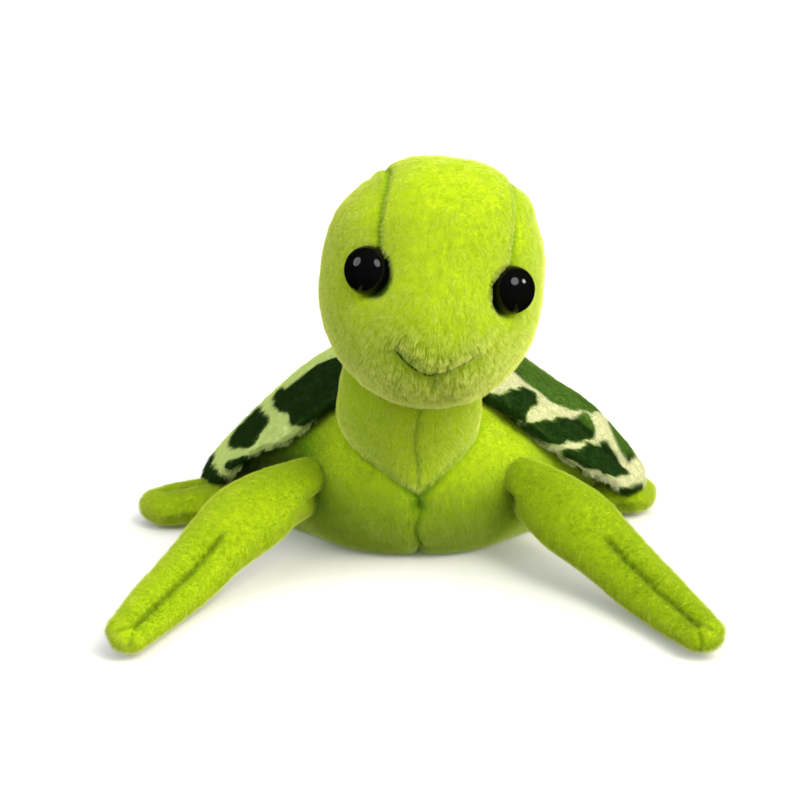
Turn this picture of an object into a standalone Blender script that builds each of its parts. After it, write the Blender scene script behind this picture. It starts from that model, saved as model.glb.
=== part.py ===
"""Small plush sea turtle: sewn plush covers round their stuffing, a padded shell on the back,
safety eyes, and a head, neck and four flippers that move on the body.

Metres, +Z up. The turtle faces -Y and its own left side is +X. It rests on z = 0.
"""

import math

import bmesh
import bpy
from mathutils import Matrix, Vector
from mathutils.bvhtree import BVHTree

NAME = "plush_turtle"

# Fabric and fit
FABRIC = 0.0012
FIT = 0.0003
FLAT_CUT = 0.0005
FLOOR_ROUNDING = 0.0015
WELD = 0.00001
OVERRUN = 0.02

# Body: a bean bag that sags on its belly
BODY_WIDTH = 0.062
BODY_LENGTH = 0.076
BODY_REST_HEIGHT = 0.013
BODY_CROWN = 0.0180
BODY_SAG = 0.031
BODY_CENTRE_Y = 0.0195
BODY_FULLNESS = 2.1
BODY_SEGMENTS = 12
BODY_RINGS = 7

# Pellet bag on the belly's floor, behind the neck
PELLET_WIDTH = 0.038
PELLET_LENGTH = 0.036
PELLET_HEIGHT = 0.011
PELLET_CENTRE_Y = 0.034
PELLET_SEGMENTS = 12
PELLET_RINGS = 6

# Shell: a padded oval that drapes over the body
SHELL_WIDTH = 0.095
SHELL_CENTRE_X = 0.0012
SHELL_CENTRE_Y = 0.022
SHELL_FRONT_REACH = 0.026
SHELL_REAR_REACH = 0.048
SHELL_CROWN_Z = 0.0398
SHELL_SIDE_Z = 0.0085
SHELL_FRONT_RISE = 0.0258
SHELL_REAR_RISE = 0.003
SHELL_PADDING = 0.0054
SHELL_RISE_POWER = 2.6
SHELL_SEGMENTS = 14
# From the crown round the rim to the underside's middle: reach, and height in the padding
SHELL_SECTION_SHARES = (
    (0, 1), (0.36, 1), (0.68, 1), (0.94, 0.96), (0.985, 0.66), (1, 0),
    (0.985, -0.66), (0.94, -0.96), (0.68, -1), (0.36, -1), (0, -1),
)
SHELL_SEAM_RING = 6
SHELL_SEAM_SHARE = 0.962

# Neck: a ball in the chest, a column, and a dome in the head
NECK_BASE = Vector((-0.0012, -0.0025, 0.0220))
NECK_TOP = Vector((-0.0005, -0.012, 0.0405))
NECK_BALL_RADIUS = 0.0156
NECK_WAIST = 0.0016
NECK_COLUMN_RADIUS = NECK_BALL_RADIUS - NECK_WAIST
NECK_OPENING_RADIUS = 0.006
NECK_STEPS = 16
ROOM_STEPS = 6
NECK_LEAN = math.radians(14.0)

# Head
HEAD_CENTRE = Vector((0.0031, -0.020, 0.0580))
HEAD_WIDTH = 0.0428
HEAD_DEPTH = 0.0490
HEAD_HEIGHT = 0.0464
HEAD_FULLNESS = 2.15
HEAD_TILT = math.radians(7.1)
HEAD_PITCH = math.radians(5.0)
HEAD_YAW = math.radians(3.5)
HEAD_SEGMENTS = 12
HEAD_RINGS = 8
HEAD_LEAN = math.radians(4.0)
MUZZLE_REACH = 0.0045
MUZZLE_DROP = 0.0115
MUZZLE_SPREAD = 0.0125

# Safety eyes
EYE_DIAMETER = 0.009
EYE_DOME = 0.0036
EYE_RIM = 0.0006
EYE_APART = 0.0272
EYE_SHIFT = -0.0009
EYE_HEIGHT = 0.0021
EYE_SPLAY = math.radians(38.0)
EYE_SINK = 0.0004
EYE_STEPS = 16
DOME_STEPS = 5
SHANK_DIAMETER = 0.0030
SHANK_LENGTH = 0.0085
WASHER_DEPTH = 0.0030
WASHER_DIAMETER = 0.0090
WASHER_THICKNESS = 0.0010
WASHER_HOLE = 0.0036
WASHER_BOSS_DIAMETER = 0.0060
WASHER_BOSS_HEIGHT = 0.0010

# Sewn threads
THREAD_RADIUS = 0.0004
MOUTH_WIDTH = 0.0155
MOUTH_DROP = 0.0150
MOUTH_RISE = 0.0048
MOUTH_SHIFT = -0.0008
MOUTH_STITCHES = 10
MOUTH_CURVE = 1.7
TOPSTITCH_STITCHES = 8

# Front flippers: the root is rounded about its hinge and sits in a slot of the body.
# Their path runs by reach, spread and drop, each as a share of its size.
# Their sections give width, thickness, roll and the depth of the sewn channel.
FRONT_ROOT = Vector((0.0208, -0.0052, 0.0130))
FRONT_REACH = 0.0670
FRONT_SPREAD = 0.0318
FRONT_DROP = 0.0094
FRONT_WIDTH = 0.0132
FRONT_THICKNESS = 0.0094
FRONT_ROLL = {"left": math.radians(24.0), "right": math.radians(40.0)}
FRONT_PATH_SHARES = {
    "left": ((0, 0, 0), (0.32, 0.29, 0.28), (0.58, 0.56, 0.66), (0.88, 0.86, 0.98), (1, 0.98, 1)),
    "right": ((0, 0, 0), (0.30, 0.41, 0.34), (0.52, 0.66, 0.66), (0.86, 0.89, 0.98), (1, 1, 1)),
}
FRONT_SECTION_SHARES = (
    (0.78, 1.00, 0.0, 0.0), (1.04, 1.08, 0.5, 0.0), (1.00, 1.00, 0.9, 0.22), (0.94, 0.90, 1.0, 0.20),
    (0.56, 0.52, 1.0, 0.0),
)
FRONT_STITCH_SHARES = (0.42, 0.90)
FRONT_POINTS = 8

# Rear flippers: short paddles that swing level under the shell's rim
REAR_ROOT = Vector((0.0296, 0.0255, 0.0040))
REAR_SPREAD = {"left": 0.0222, "right": 0.0287}
REAR_FORWARD = {"left": 0.0065, "right": 0.0155}
REAR_DROP = 0.0008
REAR_WIDTH = 0.0165
REAR_THICKNESS = 0.0072
REAR_PATH_SHARES = (0, 0.42, 0.80, 1)
REAR_SECTION_SHARES = (
    (0.44, 1.00, 0.0, 0.0), (0.82, 1.00, 0.0, 0.08), (1.00, 0.90, 0.0, 0.10), (0.60, 0.40, 0.0, 0.0),
)
REAR_STITCH_SHARES = (0.50, 0.88)
REAR_POINTS = 6

ROOT_END_ANGLES = (math.radians(62.0), math.radians(34.0))
SLOT_STEPS = 20
SIDES = {"left": 1, "right": -1}


def clear_scene():
    for obj in list(bpy.data.objects):
        bpy.data.objects.remove(obj, do_unlink=True)


def new_collection(name):
    collection = bpy.data.collections.new(name)
    bpy.context.scene.collection.children.link(collection)
    return collection


def material(name, colour, roughness):
    made = bpy.data.materials.new(name)
    made.use_nodes = True
    shader = made.node_tree.nodes["Principled BSDF"]
    shader.inputs["Base Color"].default_value = (*colour, 1)
    shader.inputs["Roughness"].default_value = roughness
    shader.inputs["Metallic"].default_value = 0
    return made


def materials():
    return {
        "lime_plush": material("lime_plush", (0.36, 0.56, 0.03), 0.95),
        "shell_plush": material("shell_plush", (0.06, 0.16, 0.02), 0.95),
        "dark_plush": material("dark_plush", (0.04, 0.12, 0.02), 0.95),
        "stuffing": material("stuffing", (0.85, 0.85, 0.82), 1.0),
        "pellet_cloth": material("pellet_cloth", (0.70, 0.68, 0.60), 0.9),
        "eye_plastic": material("eye_plastic", (0.004, 0.004, 0.004), 0.08),
        "washer_plastic": material("washer_plastic", (0.80, 0.80, 0.78), 0.45),
        "thread": material("thread", (0.02, 0.05, 0.02), 0.8),
        "lime_thread": material("lime_thread", (0.24, 0.42, 0.03), 0.8),
    }


def finish(obj, collection, finish_material=None, parent=None, smooth=True):
    """Links a new object, and hangs it on its pivot without moving it."""
    collection.objects.link(obj)
    if finish_material:
        obj.data.materials.append(finish_material)
    if smooth and obj.type == "MESH":
        obj.data.shade_smooth()
    if parent:
        obj.parent = parent
        obj.matrix_parent_inverse = parent.matrix_world.inverted()
    return obj


def pivot(name, place, parent=None):
    empty = bpy.data.objects.new(name, None)
    empty.empty_display_size = FABRIC
    empty.location = place
    PARTS.objects.link(empty)
    if parent:
        bpy.context.view_layer.update()
        empty.parent = parent
        empty.matrix_parent_inverse = parent.matrix_world.inverted()
    bpy.context.view_layer.update()
    return empty


def as_cutter(obj):
    obj.hide_render = True
    obj.display_type = "WIRE"
    return obj


def subdivide(obj):
    smooth = obj.modifiers.new("Subdivision", "SUBSURF")
    smooth.levels = smooth.render_levels = 1


def sew_skin(obj):
    """The plush fabric's own thickness, inwards from the shape."""
    skin = obj.modifiers.new("Fabric", "SOLIDIFY")
    skin.thickness = FABRIC
    skin.offset = -1


def offset_surface(obj, distance):
    """Moves the surface out along its normals, or in where distance is negative."""
    shift = obj.modifiers.new("Offset", "DISPLACE")
    shift.strength = distance
    shift.mid_level = 0


def cut(obj, *cutters):
    for cutter in cutters:
        boolean = obj.modifiers.new(cutter.name, "BOOLEAN")
        boolean.operation = "DIFFERENCE"
        boolean.solver = "EXACT"
        boolean.object = cutter


def cage_swell(around, along):
    """How much larger a cage is than the smooth shape that it holds, from its faces round and along it."""
    return 16 / ((3 + math.cos(2 * math.pi / around)) * (3 + math.cos(math.pi / along)))


def ball_mesh(name, shape, segments, rings, keep=None):
    """A unit sphere's cage with every point moved by shape. keep drops the faces that it refuses."""
    mesh = bpy.data.meshes.new(name)
    build = bmesh.new()
    bmesh.ops.create_uvsphere(build, u_segments=segments, v_segments=rings, radius=1)
    for vertex in build.verts:
        vertex.co = shape(vertex.co.normalized())
    if keep:
        dropped = [face for face in build.faces if not keep(face.calc_center_median())]
        bmesh.ops.delete(build, geom=dropped, context="FACES")
    build.to_mesh(mesh)
    build.free()
    return mesh


def loft_mesh(name, rings, close_start):
    """Quads between rings of points, with the last ring closed and the first one open or closed."""
    mesh = bpy.data.meshes.new(name)
    build = bmesh.new()
    made = [[build.verts.new(point) for point in ring] for ring in rings]
    for low, high in zip(made, made[1:]):
        for i in range(len(low)):
            j = (i + 1) % len(low)
            build.faces.new((low[i], low[j], high[j], high[i]))
    build.faces.new(made[-1])
    if close_start:
        build.faces.new(reversed(made[0]))
    bmesh.ops.recalc_face_normals(build, faces=build.faces)
    if faces_outwards(build) < 0:
        bmesh.ops.reverse_faces(build, faces=build.faces)
    build.to_mesh(mesh)
    build.free()
    return mesh


def faces_outwards(build):
    """Above zero if most of the surface faces away from its middle, below zero if it faces inwards."""
    middle = sum((vertex.co for vertex in build.verts), Vector()) / len(build.verts)
    total = 0
    for face in build.faces:
        total += (face.calc_center_median() - middle).dot(face.normal) * face.calc_area()
    return total


def above_floor(z, floor):
    """Flattens what would sink below the floor, with a rounded edge."""
    over = z - floor
    return floor + (over + math.hypot(over, FLOOR_ROUNDING)) / 2


def turned_mesh(name, profile):
    """An open or closed outline of (radius, height) points, for a Screw modifier."""
    mesh = bpy.data.meshes.new(name)
    closed = profile[0] == profile[-1]
    count = len(profile) - 1
    points = profile[:count] if closed else profile
    edges = [(i, (i + 1) % len(points)) for i in range(count)]
    mesh.from_pydata([(radius, 0, height) for radius, height in points], edges, [])
    return mesh


def turn(obj, steps):
    screw = obj.modifiers.new("Turned", "SCREW")
    screw.steps = screw.render_steps = steps
    screw.use_merge_vertices = True
    screw.merge_threshold = WELD


def turned_object(name, profile, matrix, steps):
    """A profile turned about the matrix's Z axis."""
    obj = bpy.data.objects.new(name, turned_mesh(name, profile))
    obj.matrix_world = matrix
    bpy.context.view_layer.update()
    turn(obj, steps)
    return obj


def turned_cutter(name, profile, matrix, steps):
    return as_cutter(finish(turned_object(name, profile, matrix, steps), CUTTERS))


def cylinder(name, radius, length, place, axis):
    """A closed cylinder centred on place, along axis."""
    mesh = bpy.data.meshes.new(name)
    build = bmesh.new()
    bmesh.ops.create_cone(
        build, cap_ends=True, segments=SLOT_STEPS, radius1=radius, radius2=radius, depth=length
    )
    build.to_mesh(mesh)
    build.free()
    obj = bpy.data.objects.new(name, mesh)
    obj.location = place
    obj.rotation_euler = axis.to_track_quat("Z", "Y").to_euler()
    return obj


def evaluated_tree(obj):
    bpy.context.view_layer.update()
    graph = bpy.context.evaluated_depsgraph_get()
    mesh = bpy.data.meshes.new_from_object(obj.evaluated_get(graph))
    mesh.transform(obj.matrix_world)
    build = bmesh.new()
    build.from_mesh(mesh)
    tree = BVHTree.FromBMesh(build)
    build.free()
    bpy.data.meshes.remove(mesh)
    return tree


def thread(name, points, finish_material, parent):
    curve = bpy.data.curves.new(name, "CURVE")
    curve.dimensions = "3D"
    curve.bevel_depth = THREAD_RADIUS
    curve.bevel_resolution = 1
    curve.use_fill_caps = True
    spline = curve.splines.new("POLY")
    spline.points.add(len(points) - 1)
    for point, place in zip(spline.points, points):
        point.co = (*place, 1)
    return finish(bpy.data.objects.new(name, curve), PARTS, finish_material, parent)


# Body

def body_shape(direction):
    """The body's surface in a direction from its centre: an oval in plan, full at its waist, flat below."""
    plan = math.hypot(direction.x, direction.y)
    full = (plan**BODY_FULLNESS + abs(direction.z) ** BODY_FULLNESS) ** (-1 / BODY_FULLNESS)
    full *= cage_swell(BODY_SEGMENTS, BODY_RINGS)
    height = BODY_CROWN if direction.z > 0 else BODY_SAG
    z = BODY_REST_HEIGHT + full * direction.z * height
    return Vector((
        full * direction.x * BODY_WIDTH / 2,
        BODY_CENTRE_Y + full * direction.y * BODY_LENGTH / 2,
        above_floor(z, -FLAT_CUT),
    ))


def outside_neck_ball(point):
    return (point - NECK_BASE).length > NECK_BALL_RADIUS - FABRIC


def floor_cutter():
    reach = BODY_LENGTH + OVERRUN
    mesh = bpy.data.meshes.new("floor")
    build = bmesh.new()
    bmesh.ops.create_cube(build, size=1)
    bmesh.ops.scale(build, verts=build.verts, vec=(reach, reach, OVERRUN))
    build.to_mesh(mesh)
    build.free()
    obj = bpy.data.objects.new("cut_floor", mesh)
    obj.location = (0, BODY_CENTRE_Y, -OVERRUN / 2)
    return as_cutter(finish(obj, CUTTERS))


def neck_axis():
    return (NECK_TOP - NECK_BASE).normalized()


def room_profile(ball, column, lean, reach):
    """The room round a ball and the column that leaves it upwards and leans: its flare, then the ball."""
    slope = math.tan(lean)
    spread = 1 + slope**2
    meet = (-column * slope + math.sqrt((column * slope) ** 2 - spread * (column**2 - ball**2))) / spread
    start = math.asin(meet / ball)
    points = [(0, reach), (column + slope * reach, reach)]
    for i in range(ROOM_STEPS + 1):
        angle = start - (start + math.pi / 2) * i / ROOM_STEPS
        points.append((ball * math.cos(angle), ball * math.sin(angle)))
    points[-1] = (0, -ball)
    return points


def neck_rooms():
    """What the neck needs of the body and shell, and of the head, to lean and to turn."""
    axis = neck_axis()
    column = NECK_COLUMN_RADIUS + 2 * FIT
    reach = (NECK_TOP - NECK_BASE).length + OVERRUN
    base = room_profile(NECK_BALL_RADIUS + 2 * FIT, column, NECK_LEAN, reach)
    top = room_profile(NECK_COLUMN_RADIUS + 3 * FIT, column, HEAD_LEAN, OVERRUN)
    found = []
    for name, place, way, profile in (("base", NECK_BASE, axis, base), ("top", NECK_TOP, -axis, top)):
        matrix = Matrix.Translation(place) @ way.to_track_quat("Z", "Y").to_matrix().to_4x4()
        found.append(turned_cutter(f"cut_neck_{name}", profile, matrix, NECK_STEPS))
    return found


def make_body(mats, cutters):
    cover_mesh = ball_mesh("body_cover", body_shape, BODY_SEGMENTS, BODY_RINGS, outside_neck_ball)
    cover = finish(bpy.data.objects.new("body_cover", cover_mesh), PARTS, mats["lime_plush"])
    subdivide(cover)
    sew_skin(cover)
    cut(cover, cutters["neck_base"], *cutters["slots"], cutters["floor"])
    core_mesh = ball_mesh("body_stuffing", body_shape, BODY_SEGMENTS, BODY_RINGS)
    core = finish(bpy.data.objects.new("body_stuffing", core_mesh), PARTS, mats["stuffing"])
    subdivide(core)
    offset_surface(core, -FABRIC - 2 * FIT)
    cut(core, cutters["neck_base"], *cutters["slots"], cutters["pellets"])


def pellet_shape(direction, grow, drop):
    """The bag's surface, grown by grow, with its lower half stretched down by drop."""
    low = drop if direction.z < 0 else 0
    height = PELLET_HEIGHT / 2
    centre_z = FABRIC + FLAT_CUT + 2 * FIT + height
    return Vector((
        direction.x * (PELLET_WIDTH / 2 + grow),
        PELLET_CENTRE_Y + direction.y * (PELLET_LENGTH / 2 + grow),
        centre_z + direction.z * (height + grow + low),
    ))


def make_pellet_bag(mats):
    mesh = ball_mesh("pellet_bag", lambda way: pellet_shape(way, 0, 0), PELLET_SEGMENTS, PELLET_RINGS)
    bag = finish(bpy.data.objects.new("pellet_bag", mesh), PARTS, mats["pellet_cloth"])
    subdivide(bag)


def pellet_cutter():
    mesh = ball_mesh(
        "pellet_pocket", lambda way: pellet_shape(way, 2 * FIT, PELLET_HEIGHT), PELLET_SEGMENTS, PELLET_RINGS
    )
    cutter = as_cutter(finish(bpy.data.objects.new("cut_pellets", mesh), CUTTERS))
    subdivide(cutter)
    return cutter


# Shell

def shell_reach(along):
    return SHELL_FRONT_REACH if along < 0 else SHELL_REAR_REACH


def shell_middle(across, along, share):
    """A point of the padding's middle layer, at a share of the reach from the crown towards the rim."""
    reach = shell_reach(along)
    rise = SHELL_FRONT_RISE if along < 0 else SHELL_REAR_RISE
    rim_z = SHELL_SIDE_Z + rise * abs(along) ** SHELL_RISE_POWER
    return Vector((
        SHELL_CENTRE_X + across * SHELL_WIDTH / 2 * share,
        SHELL_CENTRE_Y + along * reach * share,
        rim_z + (SHELL_CROWN_Z - rim_z) * (1 - share**2),
    ))


def shell_point(across, along, share, height, inset):
    """A point of the shell, or of what it holds at an inset: height runs from -1 below to 1 on top."""
    offset = (SHELL_PADDING / 2 - inset) * height
    if share:
        share -= share * inset / math.hypot(across * SHELL_WIDTH / 2, along * shell_reach(along))
    middle = shell_middle(across, along, share)
    if not share:
        return middle + Vector((0, 0, offset))
    step = FIT / SHELL_WIDTH
    angle = math.atan2(along, across)
    outward = shell_middle(across, along, share + step) - shell_middle(across, along, share - step)
    round_about = (
        shell_middle(math.cos(angle + step), math.sin(angle + step), share)
        - shell_middle(math.cos(angle - step), math.sin(angle - step), share)
    )
    return middle + outward.cross(round_about).normalized() * offset


def shell_mesh(name, first_ring, last_ring, edge_share, inset):
    """The shell's surface between two rings of its section, the first one drawn in to edge_share."""
    rings = len(SHELL_SECTION_SHARES) - 1
    mesh = bpy.data.meshes.new(name)
    build = bmesh.new()
    bmesh.ops.create_uvsphere(build, u_segments=SHELL_SEGMENTS, v_segments=rings, radius=1)
    at = {vertex: round(vertex.co.angle(Vector((0, 0, 1))) / math.pi * rings) for vertex in build.verts}
    dropped = [vertex for vertex, ring in at.items() if not first_ring <= ring <= last_ring]
    for vertex, ring in at.items():
        plan = vertex.co.xy.length
        across, along = vertex.co.xy / plan if 0 < ring < rings else (0, 0)
        share, height = SHELL_SECTION_SHARES[ring]
        if ring == first_ring:
            share *= edge_share
        vertex.co = shell_point(across, along, share, height, inset)
    bmesh.ops.delete(build, geom=dropped, context="VERTS")
    build.to_mesh(mesh)
    build.free()
    return mesh


def make_shell(mats, cutters):
    rings = len(SHELL_SECTION_SHARES) - 1
    cover_mesh = shell_mesh("shell_cover", 0, SHELL_SEAM_RING, 1, 0)
    under_mesh = shell_mesh("shell_underside", SHELL_SEAM_RING, rings, SHELL_SEAM_SHARE, 0)
    padding_mesh = shell_mesh("shell_padding", 0, rings, 1, FABRIC + 2 * FIT)
    cover = finish(bpy.data.objects.new("shell_cover", cover_mesh), PARTS, mats["shell_plush"])
    under = finish(bpy.data.objects.new("shell_underside", under_mesh), PARTS, mats["dark_plush"])
    padding = finish(bpy.data.objects.new("shell_padding", padding_mesh), PARTS, mats["stuffing"])
    for piece in (cover, under, padding):
        subdivide(piece)
    sew_skin(cover)
    sew_skin(under)
    for piece in (cover, under, padding):
        cut(piece, cutters["neck_base"])


# Neck

def neck_outline(inset, start_angle, end_angle):
    """(radius, height) along the neck, from the dome's top down to the ball's foot."""
    length = (NECK_TOP - NECK_BASE).length
    dome = NECK_COLUMN_RADIUS - inset
    ball = NECK_BALL_RADIUS - inset
    meet = math.acos(NECK_COLUMN_RADIUS / NECK_BALL_RADIUS)
    points = []
    for i in range(DOME_STEPS + 1):
        angle = start_angle + (math.pi / 2 - start_angle) * i / DOME_STEPS
        points.append((dome * math.sin(angle), length + dome * math.cos(angle)))
    for i in range(DOME_STEPS + 1):
        angle = meet + (-end_angle - meet) * i / DOME_STEPS
        points.append((ball * math.cos(angle), ball * math.sin(angle)))
    return points


def make_neck(mats, parent):
    seat = Matrix.Translation(NECK_BASE) @ neck_axis().to_track_quat("Z", "Y").to_matrix().to_4x4()
    top_angle = math.asin(NECK_OPENING_RADIUS / NECK_COLUMN_RADIUS)
    foot_angle = math.acos(NECK_OPENING_RADIUS / NECK_BALL_RADIUS)
    cover = turned_object("neck_cover", neck_outline(0, top_angle, foot_angle), seat, NECK_STEPS)
    core = turned_object("neck_stuffing", neck_outline(FABRIC + FIT, 0, math.pi / 2), seat, NECK_STEPS)
    finish(cover, PARTS, mats["lime_plush"], parent)
    finish(core, PARTS, mats["stuffing"], parent)
    sew_skin(cover)


# Head

def head_matrix():
    look = Matrix.Rotation(HEAD_YAW, 4, "Z") @ Matrix.Rotation(HEAD_TILT, 4, "Y")
    return Matrix.Translation(HEAD_CENTRE) @ look @ Matrix.Rotation(-HEAD_PITCH, 4, "X")


def head_shape(direction):
    """The head's surface about its centre, with the muzzle pushed forward low on the face."""
    total = sum(abs(part) ** HEAD_FULLNESS for part in direction)
    full = total ** (-1 / HEAD_FULLNESS) * cage_swell(HEAD_SEGMENTS, HEAD_RINGS)
    x = full * direction.x * HEAD_WIDTH / 2
    y = full * direction.y * HEAD_DEPTH / 2
    z = full * direction.z * HEAD_HEIGHT / 2
    if y < 0:
        away = math.hypot(x, z + MUZZLE_DROP) / MUZZLE_SPREAD
        y -= MUZZLE_REACH * math.exp(-(away**2))
    return Vector((x, y, z))


def head_object(name, mesh, finish_material, parent):
    obj = bpy.data.objects.new(name, mesh)
    obj.matrix_world = head_matrix()
    bpy.context.view_layer.update()
    return finish(obj, PARTS, finish_material, parent)


def eye_matrix(side, tree):
    """The eye's seat on the face: its dome's axis is the matrix's Z axis, and points out of the head."""
    splay = Matrix.Rotation(side * EYE_SPLAY, 4, "Z")
    look = (splay @ Vector((0, -1, 0))).normalized()
    start = Vector((EYE_SHIFT + side * EYE_APART / 2, -HEAD_DEPTH, EYE_HEIGHT))
    place = tree.ray_cast(head_matrix() @ start, head_matrix().to_3x3() @ Vector((0, 1, 0)))[0]
    turned = head_matrix().to_3x3() @ look
    frame = turned.to_track_quat("Z", "Y").to_matrix().to_4x4()
    return Matrix.Translation(place - turned * EYE_SINK) @ frame


def eye_profile():
    """Dome, rim and shank, from the dome's top down the outer side, with the back of the rim at 0."""
    quarter = math.pi / 2 / DOME_STEPS
    points = [
        (EYE_DIAMETER / 2 * math.sin(quarter * i), EYE_RIM + EYE_DOME * math.cos(quarter * i))
        for i in range(DOME_STEPS + 1)
    ]
    shank = SHANK_DIAMETER / 2
    return points + [(EYE_DIAMETER / 2, 0), (shank, 0), (shank, -SHANK_LENGTH), (0, -SHANK_LENGTH)]


def washer_profile():
    """A ring with a boss, from its inner top edge round its outer side and back up its hole."""
    hole, boss, rim = WASHER_HOLE / 2, WASHER_BOSS_DIAMETER / 2, WASHER_DIAMETER / 2
    foot = -WASHER_THICKNESS - WASHER_BOSS_HEIGHT
    back = -WASHER_THICKNESS
    return [(hole, 0), (rim, 0), (rim, back), (boss, back), (boss, foot), (hole, foot), (hole, 0)]


def seat_profile():
    """The room for an eye in the cover: its rim's seat and its shank's hole."""
    rim = EYE_DIAMETER / 2 + FIT
    shank = SHANK_DIAMETER / 2 + FIT
    foot = -SHANK_LENGTH
    return [(0, OVERRUN), (rim, OVERRUN), (rim, -FIT), (shank, -FIT), (shank, foot), (0, foot)]


def pocket_profile():
    """The room in the stuffing round an eye's washer and the end of its shank."""
    rim = WASHER_DIAMETER / 2 + FIT
    shank = SHANK_DIAMETER / 2 + FIT
    back = -WASHER_DEPTH - WASHER_THICKNESS - WASHER_BOSS_HEIGHT - FIT
    foot = -SHANK_LENGTH - FIT
    return [(0, OVERRUN), (rim, OVERRUN), (rim, back), (shank, back), (shank, foot), (0, foot)]


def mouth_points(tree):
    """The smile, laid on the face from one corner to the other."""
    points = []
    for i in range(MOUTH_STITCHES + 1):
        across = 2 * i / MOUTH_STITCHES - 1
        local = Vector((
            MOUTH_SHIFT + across * MOUTH_WIDTH / 2,
            -HEAD_DEPTH,
            -MOUTH_DROP + MOUTH_RISE * abs(across) ** MOUTH_CURVE,
        ))
        way = head_matrix().to_3x3() @ Vector((0, 1, 0))
        place, normal = tree.ray_cast(head_matrix() @ local, way)[:2]
        points.append(place + normal * (THREAD_RADIUS + FIT))
    return points


def make_head(mats, parent, socket):
    neck_place = head_matrix().inverted() @ NECK_TOP

    def clear_of_neck(point):
        return (point - neck_place).length > NECK_COLUMN_RADIUS - FABRIC

    cover_mesh = ball_mesh("head_cover", head_shape, HEAD_SEGMENTS, HEAD_RINGS, clear_of_neck)
    cover = head_object("head_cover", cover_mesh, mats["lime_plush"], parent)
    subdivide(cover)
    tree = evaluated_tree(cover)
    thread("mouth_thread", mouth_points(tree), mats["thread"], parent)
    seats = {side: eye_matrix(SIDES[side], tree) for side in SIDES}
    sew_skin(cover)
    core_mesh = ball_mesh("head_stuffing", head_shape, HEAD_SEGMENTS, HEAD_RINGS)
    core = head_object("head_stuffing", core_mesh, mats["stuffing"], parent)
    subdivide(core)
    offset_surface(core, -FABRIC - 2 * FIT)
    cut(cover, socket)
    cut(core, socket)
    for side, seat in seats.items():
        make_eye(side, seat, mats, parent)
        cut(cover, turned_cutter(f"cut_eye_{side}", seat_profile(), seat, EYE_STEPS))
        cut(core, turned_cutter(f"cut_washer_{side}", pocket_profile(), seat, EYE_STEPS))


def make_eye(side, seat, mats, parent):
    behind = seat @ Matrix.Translation((0, 0, -WASHER_DEPTH))
    eye = turned_object(f"eye_{side}", eye_profile(), seat, EYE_STEPS)
    washer = turned_object(f"eye_washer_{side}", washer_profile(), behind, EYE_STEPS)
    finish(eye, PARTS, mats["eye_plastic"], parent)
    finish(washer, PARTS, mats["washer_plastic"], parent)


# Flippers

def section_ring(count, centre, along, width, thickness, roll, channel, floor):
    """Points round a flipper, flattened on the floor, with its sewn channel sunk above and below."""
    level = Vector((0, 0, 1)).cross(along).normalized()
    up = along.cross(level)
    turned = Matrix.Rotation(roll, 3, along)
    level, up = turned @ level, turned @ up
    ring = []
    for i in range(count):
        angle = 2 * math.pi * (i + count % 4 / 4) / count
        sunk = 1 - channel if i % (count // 2) == count // 4 else 1
        offset = level * (math.cos(angle) * width / 2) + up * (math.sin(angle) * sunk * thickness / 2)
        offset *= cage_swell(count, count)
        point = centre + offset
        point.z = above_floor(point.z, floor)
        ring.append(point)
    return ring


def flipper_rings(flipper, inset, root_angles):
    """Rings from the rounded root, behind the hinge, to the tip."""
    count, points, shares = flipper["count"], flipper["path"], flipper["sections"]
    width, thickness, roll = flipper["width"], flipper["thickness"], flipper["roll"]
    flat = level_heading(points)
    rings = []
    for angle in root_angles:
        back = thickness / 2 * math.sin(angle) - inset
        thin = (thickness - 2 * inset) * math.cos(angle)
        rings.append(section_ring(
            count, points[0] - flat * back, flat, width * shares[0][0] - 2 * inset, thin, 0, 0, FIT
        ))
    for i, (place, share) in enumerate(zip(points, shares)):
        heading = flat
        if i:
            heading = (points[min(i + 1, len(points) - 1)] - points[i - 1]).normalized()
        back = inset if i == len(points) - 1 else 0
        wide = width * share[0] - 2 * inset
        thick = thickness * share[1] - 2 * inset
        rings.append(section_ring(
            count, place - heading * back, heading, wide, thick, roll * share[2], share[3], FIT + inset
        ))
    return rings


def stitch_points(tree, points, shares):
    """Stitches along the channel, on top of the flipper."""
    lengths = [0]
    for before, after in zip(points, points[1:]):
        lengths.append(lengths[-1] + (after - before).length)
    found = []
    for i in range(TOPSTITCH_STITCHES + 1):
        want = lengths[-1] * (shares[0] + (shares[1] - shares[0]) * i / TOPSTITCH_STITCHES)
        k = max(j for j, length in enumerate(lengths[:-1]) if length <= want)
        part = (want - lengths[k]) / (lengths[k + 1] - lengths[k])
        centre = points[k].lerp(points[k + 1], part)
        place, normal = tree.ray_cast(centre + Vector((0, 0, OVERRUN)), Vector((0, 0, -1)))[:2]
        found.append(place + normal * (THREAD_RADIUS + FIT))
    return found


def level_heading(points):
    """The way that a flipper leaves its hinge, seen from above."""
    along = points[1] - points[0]
    return Vector((along.x, along.y, 0)).normalized()


def front_flipper(side):
    sign = SIDES[side]
    root = Vector((sign * FRONT_ROOT.x, FRONT_ROOT.y, FRONT_ROOT.z))
    path = [
        root + Vector((sign * FRONT_SPREAD * out, -FRONT_REACH * ahead, -FRONT_DROP * down))
        for ahead, out, down in FRONT_PATH_SHARES[side]
    ]
    return {
        "name": "front_flipper", "side": side, "count": FRONT_POINTS, "path": path,
        "sections": FRONT_SECTION_SHARES, "width": FRONT_WIDTH, "thickness": FRONT_THICKNESS,
        "roll": sign * FRONT_ROLL[side], "stitches": FRONT_STITCH_SHARES,
    }


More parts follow.
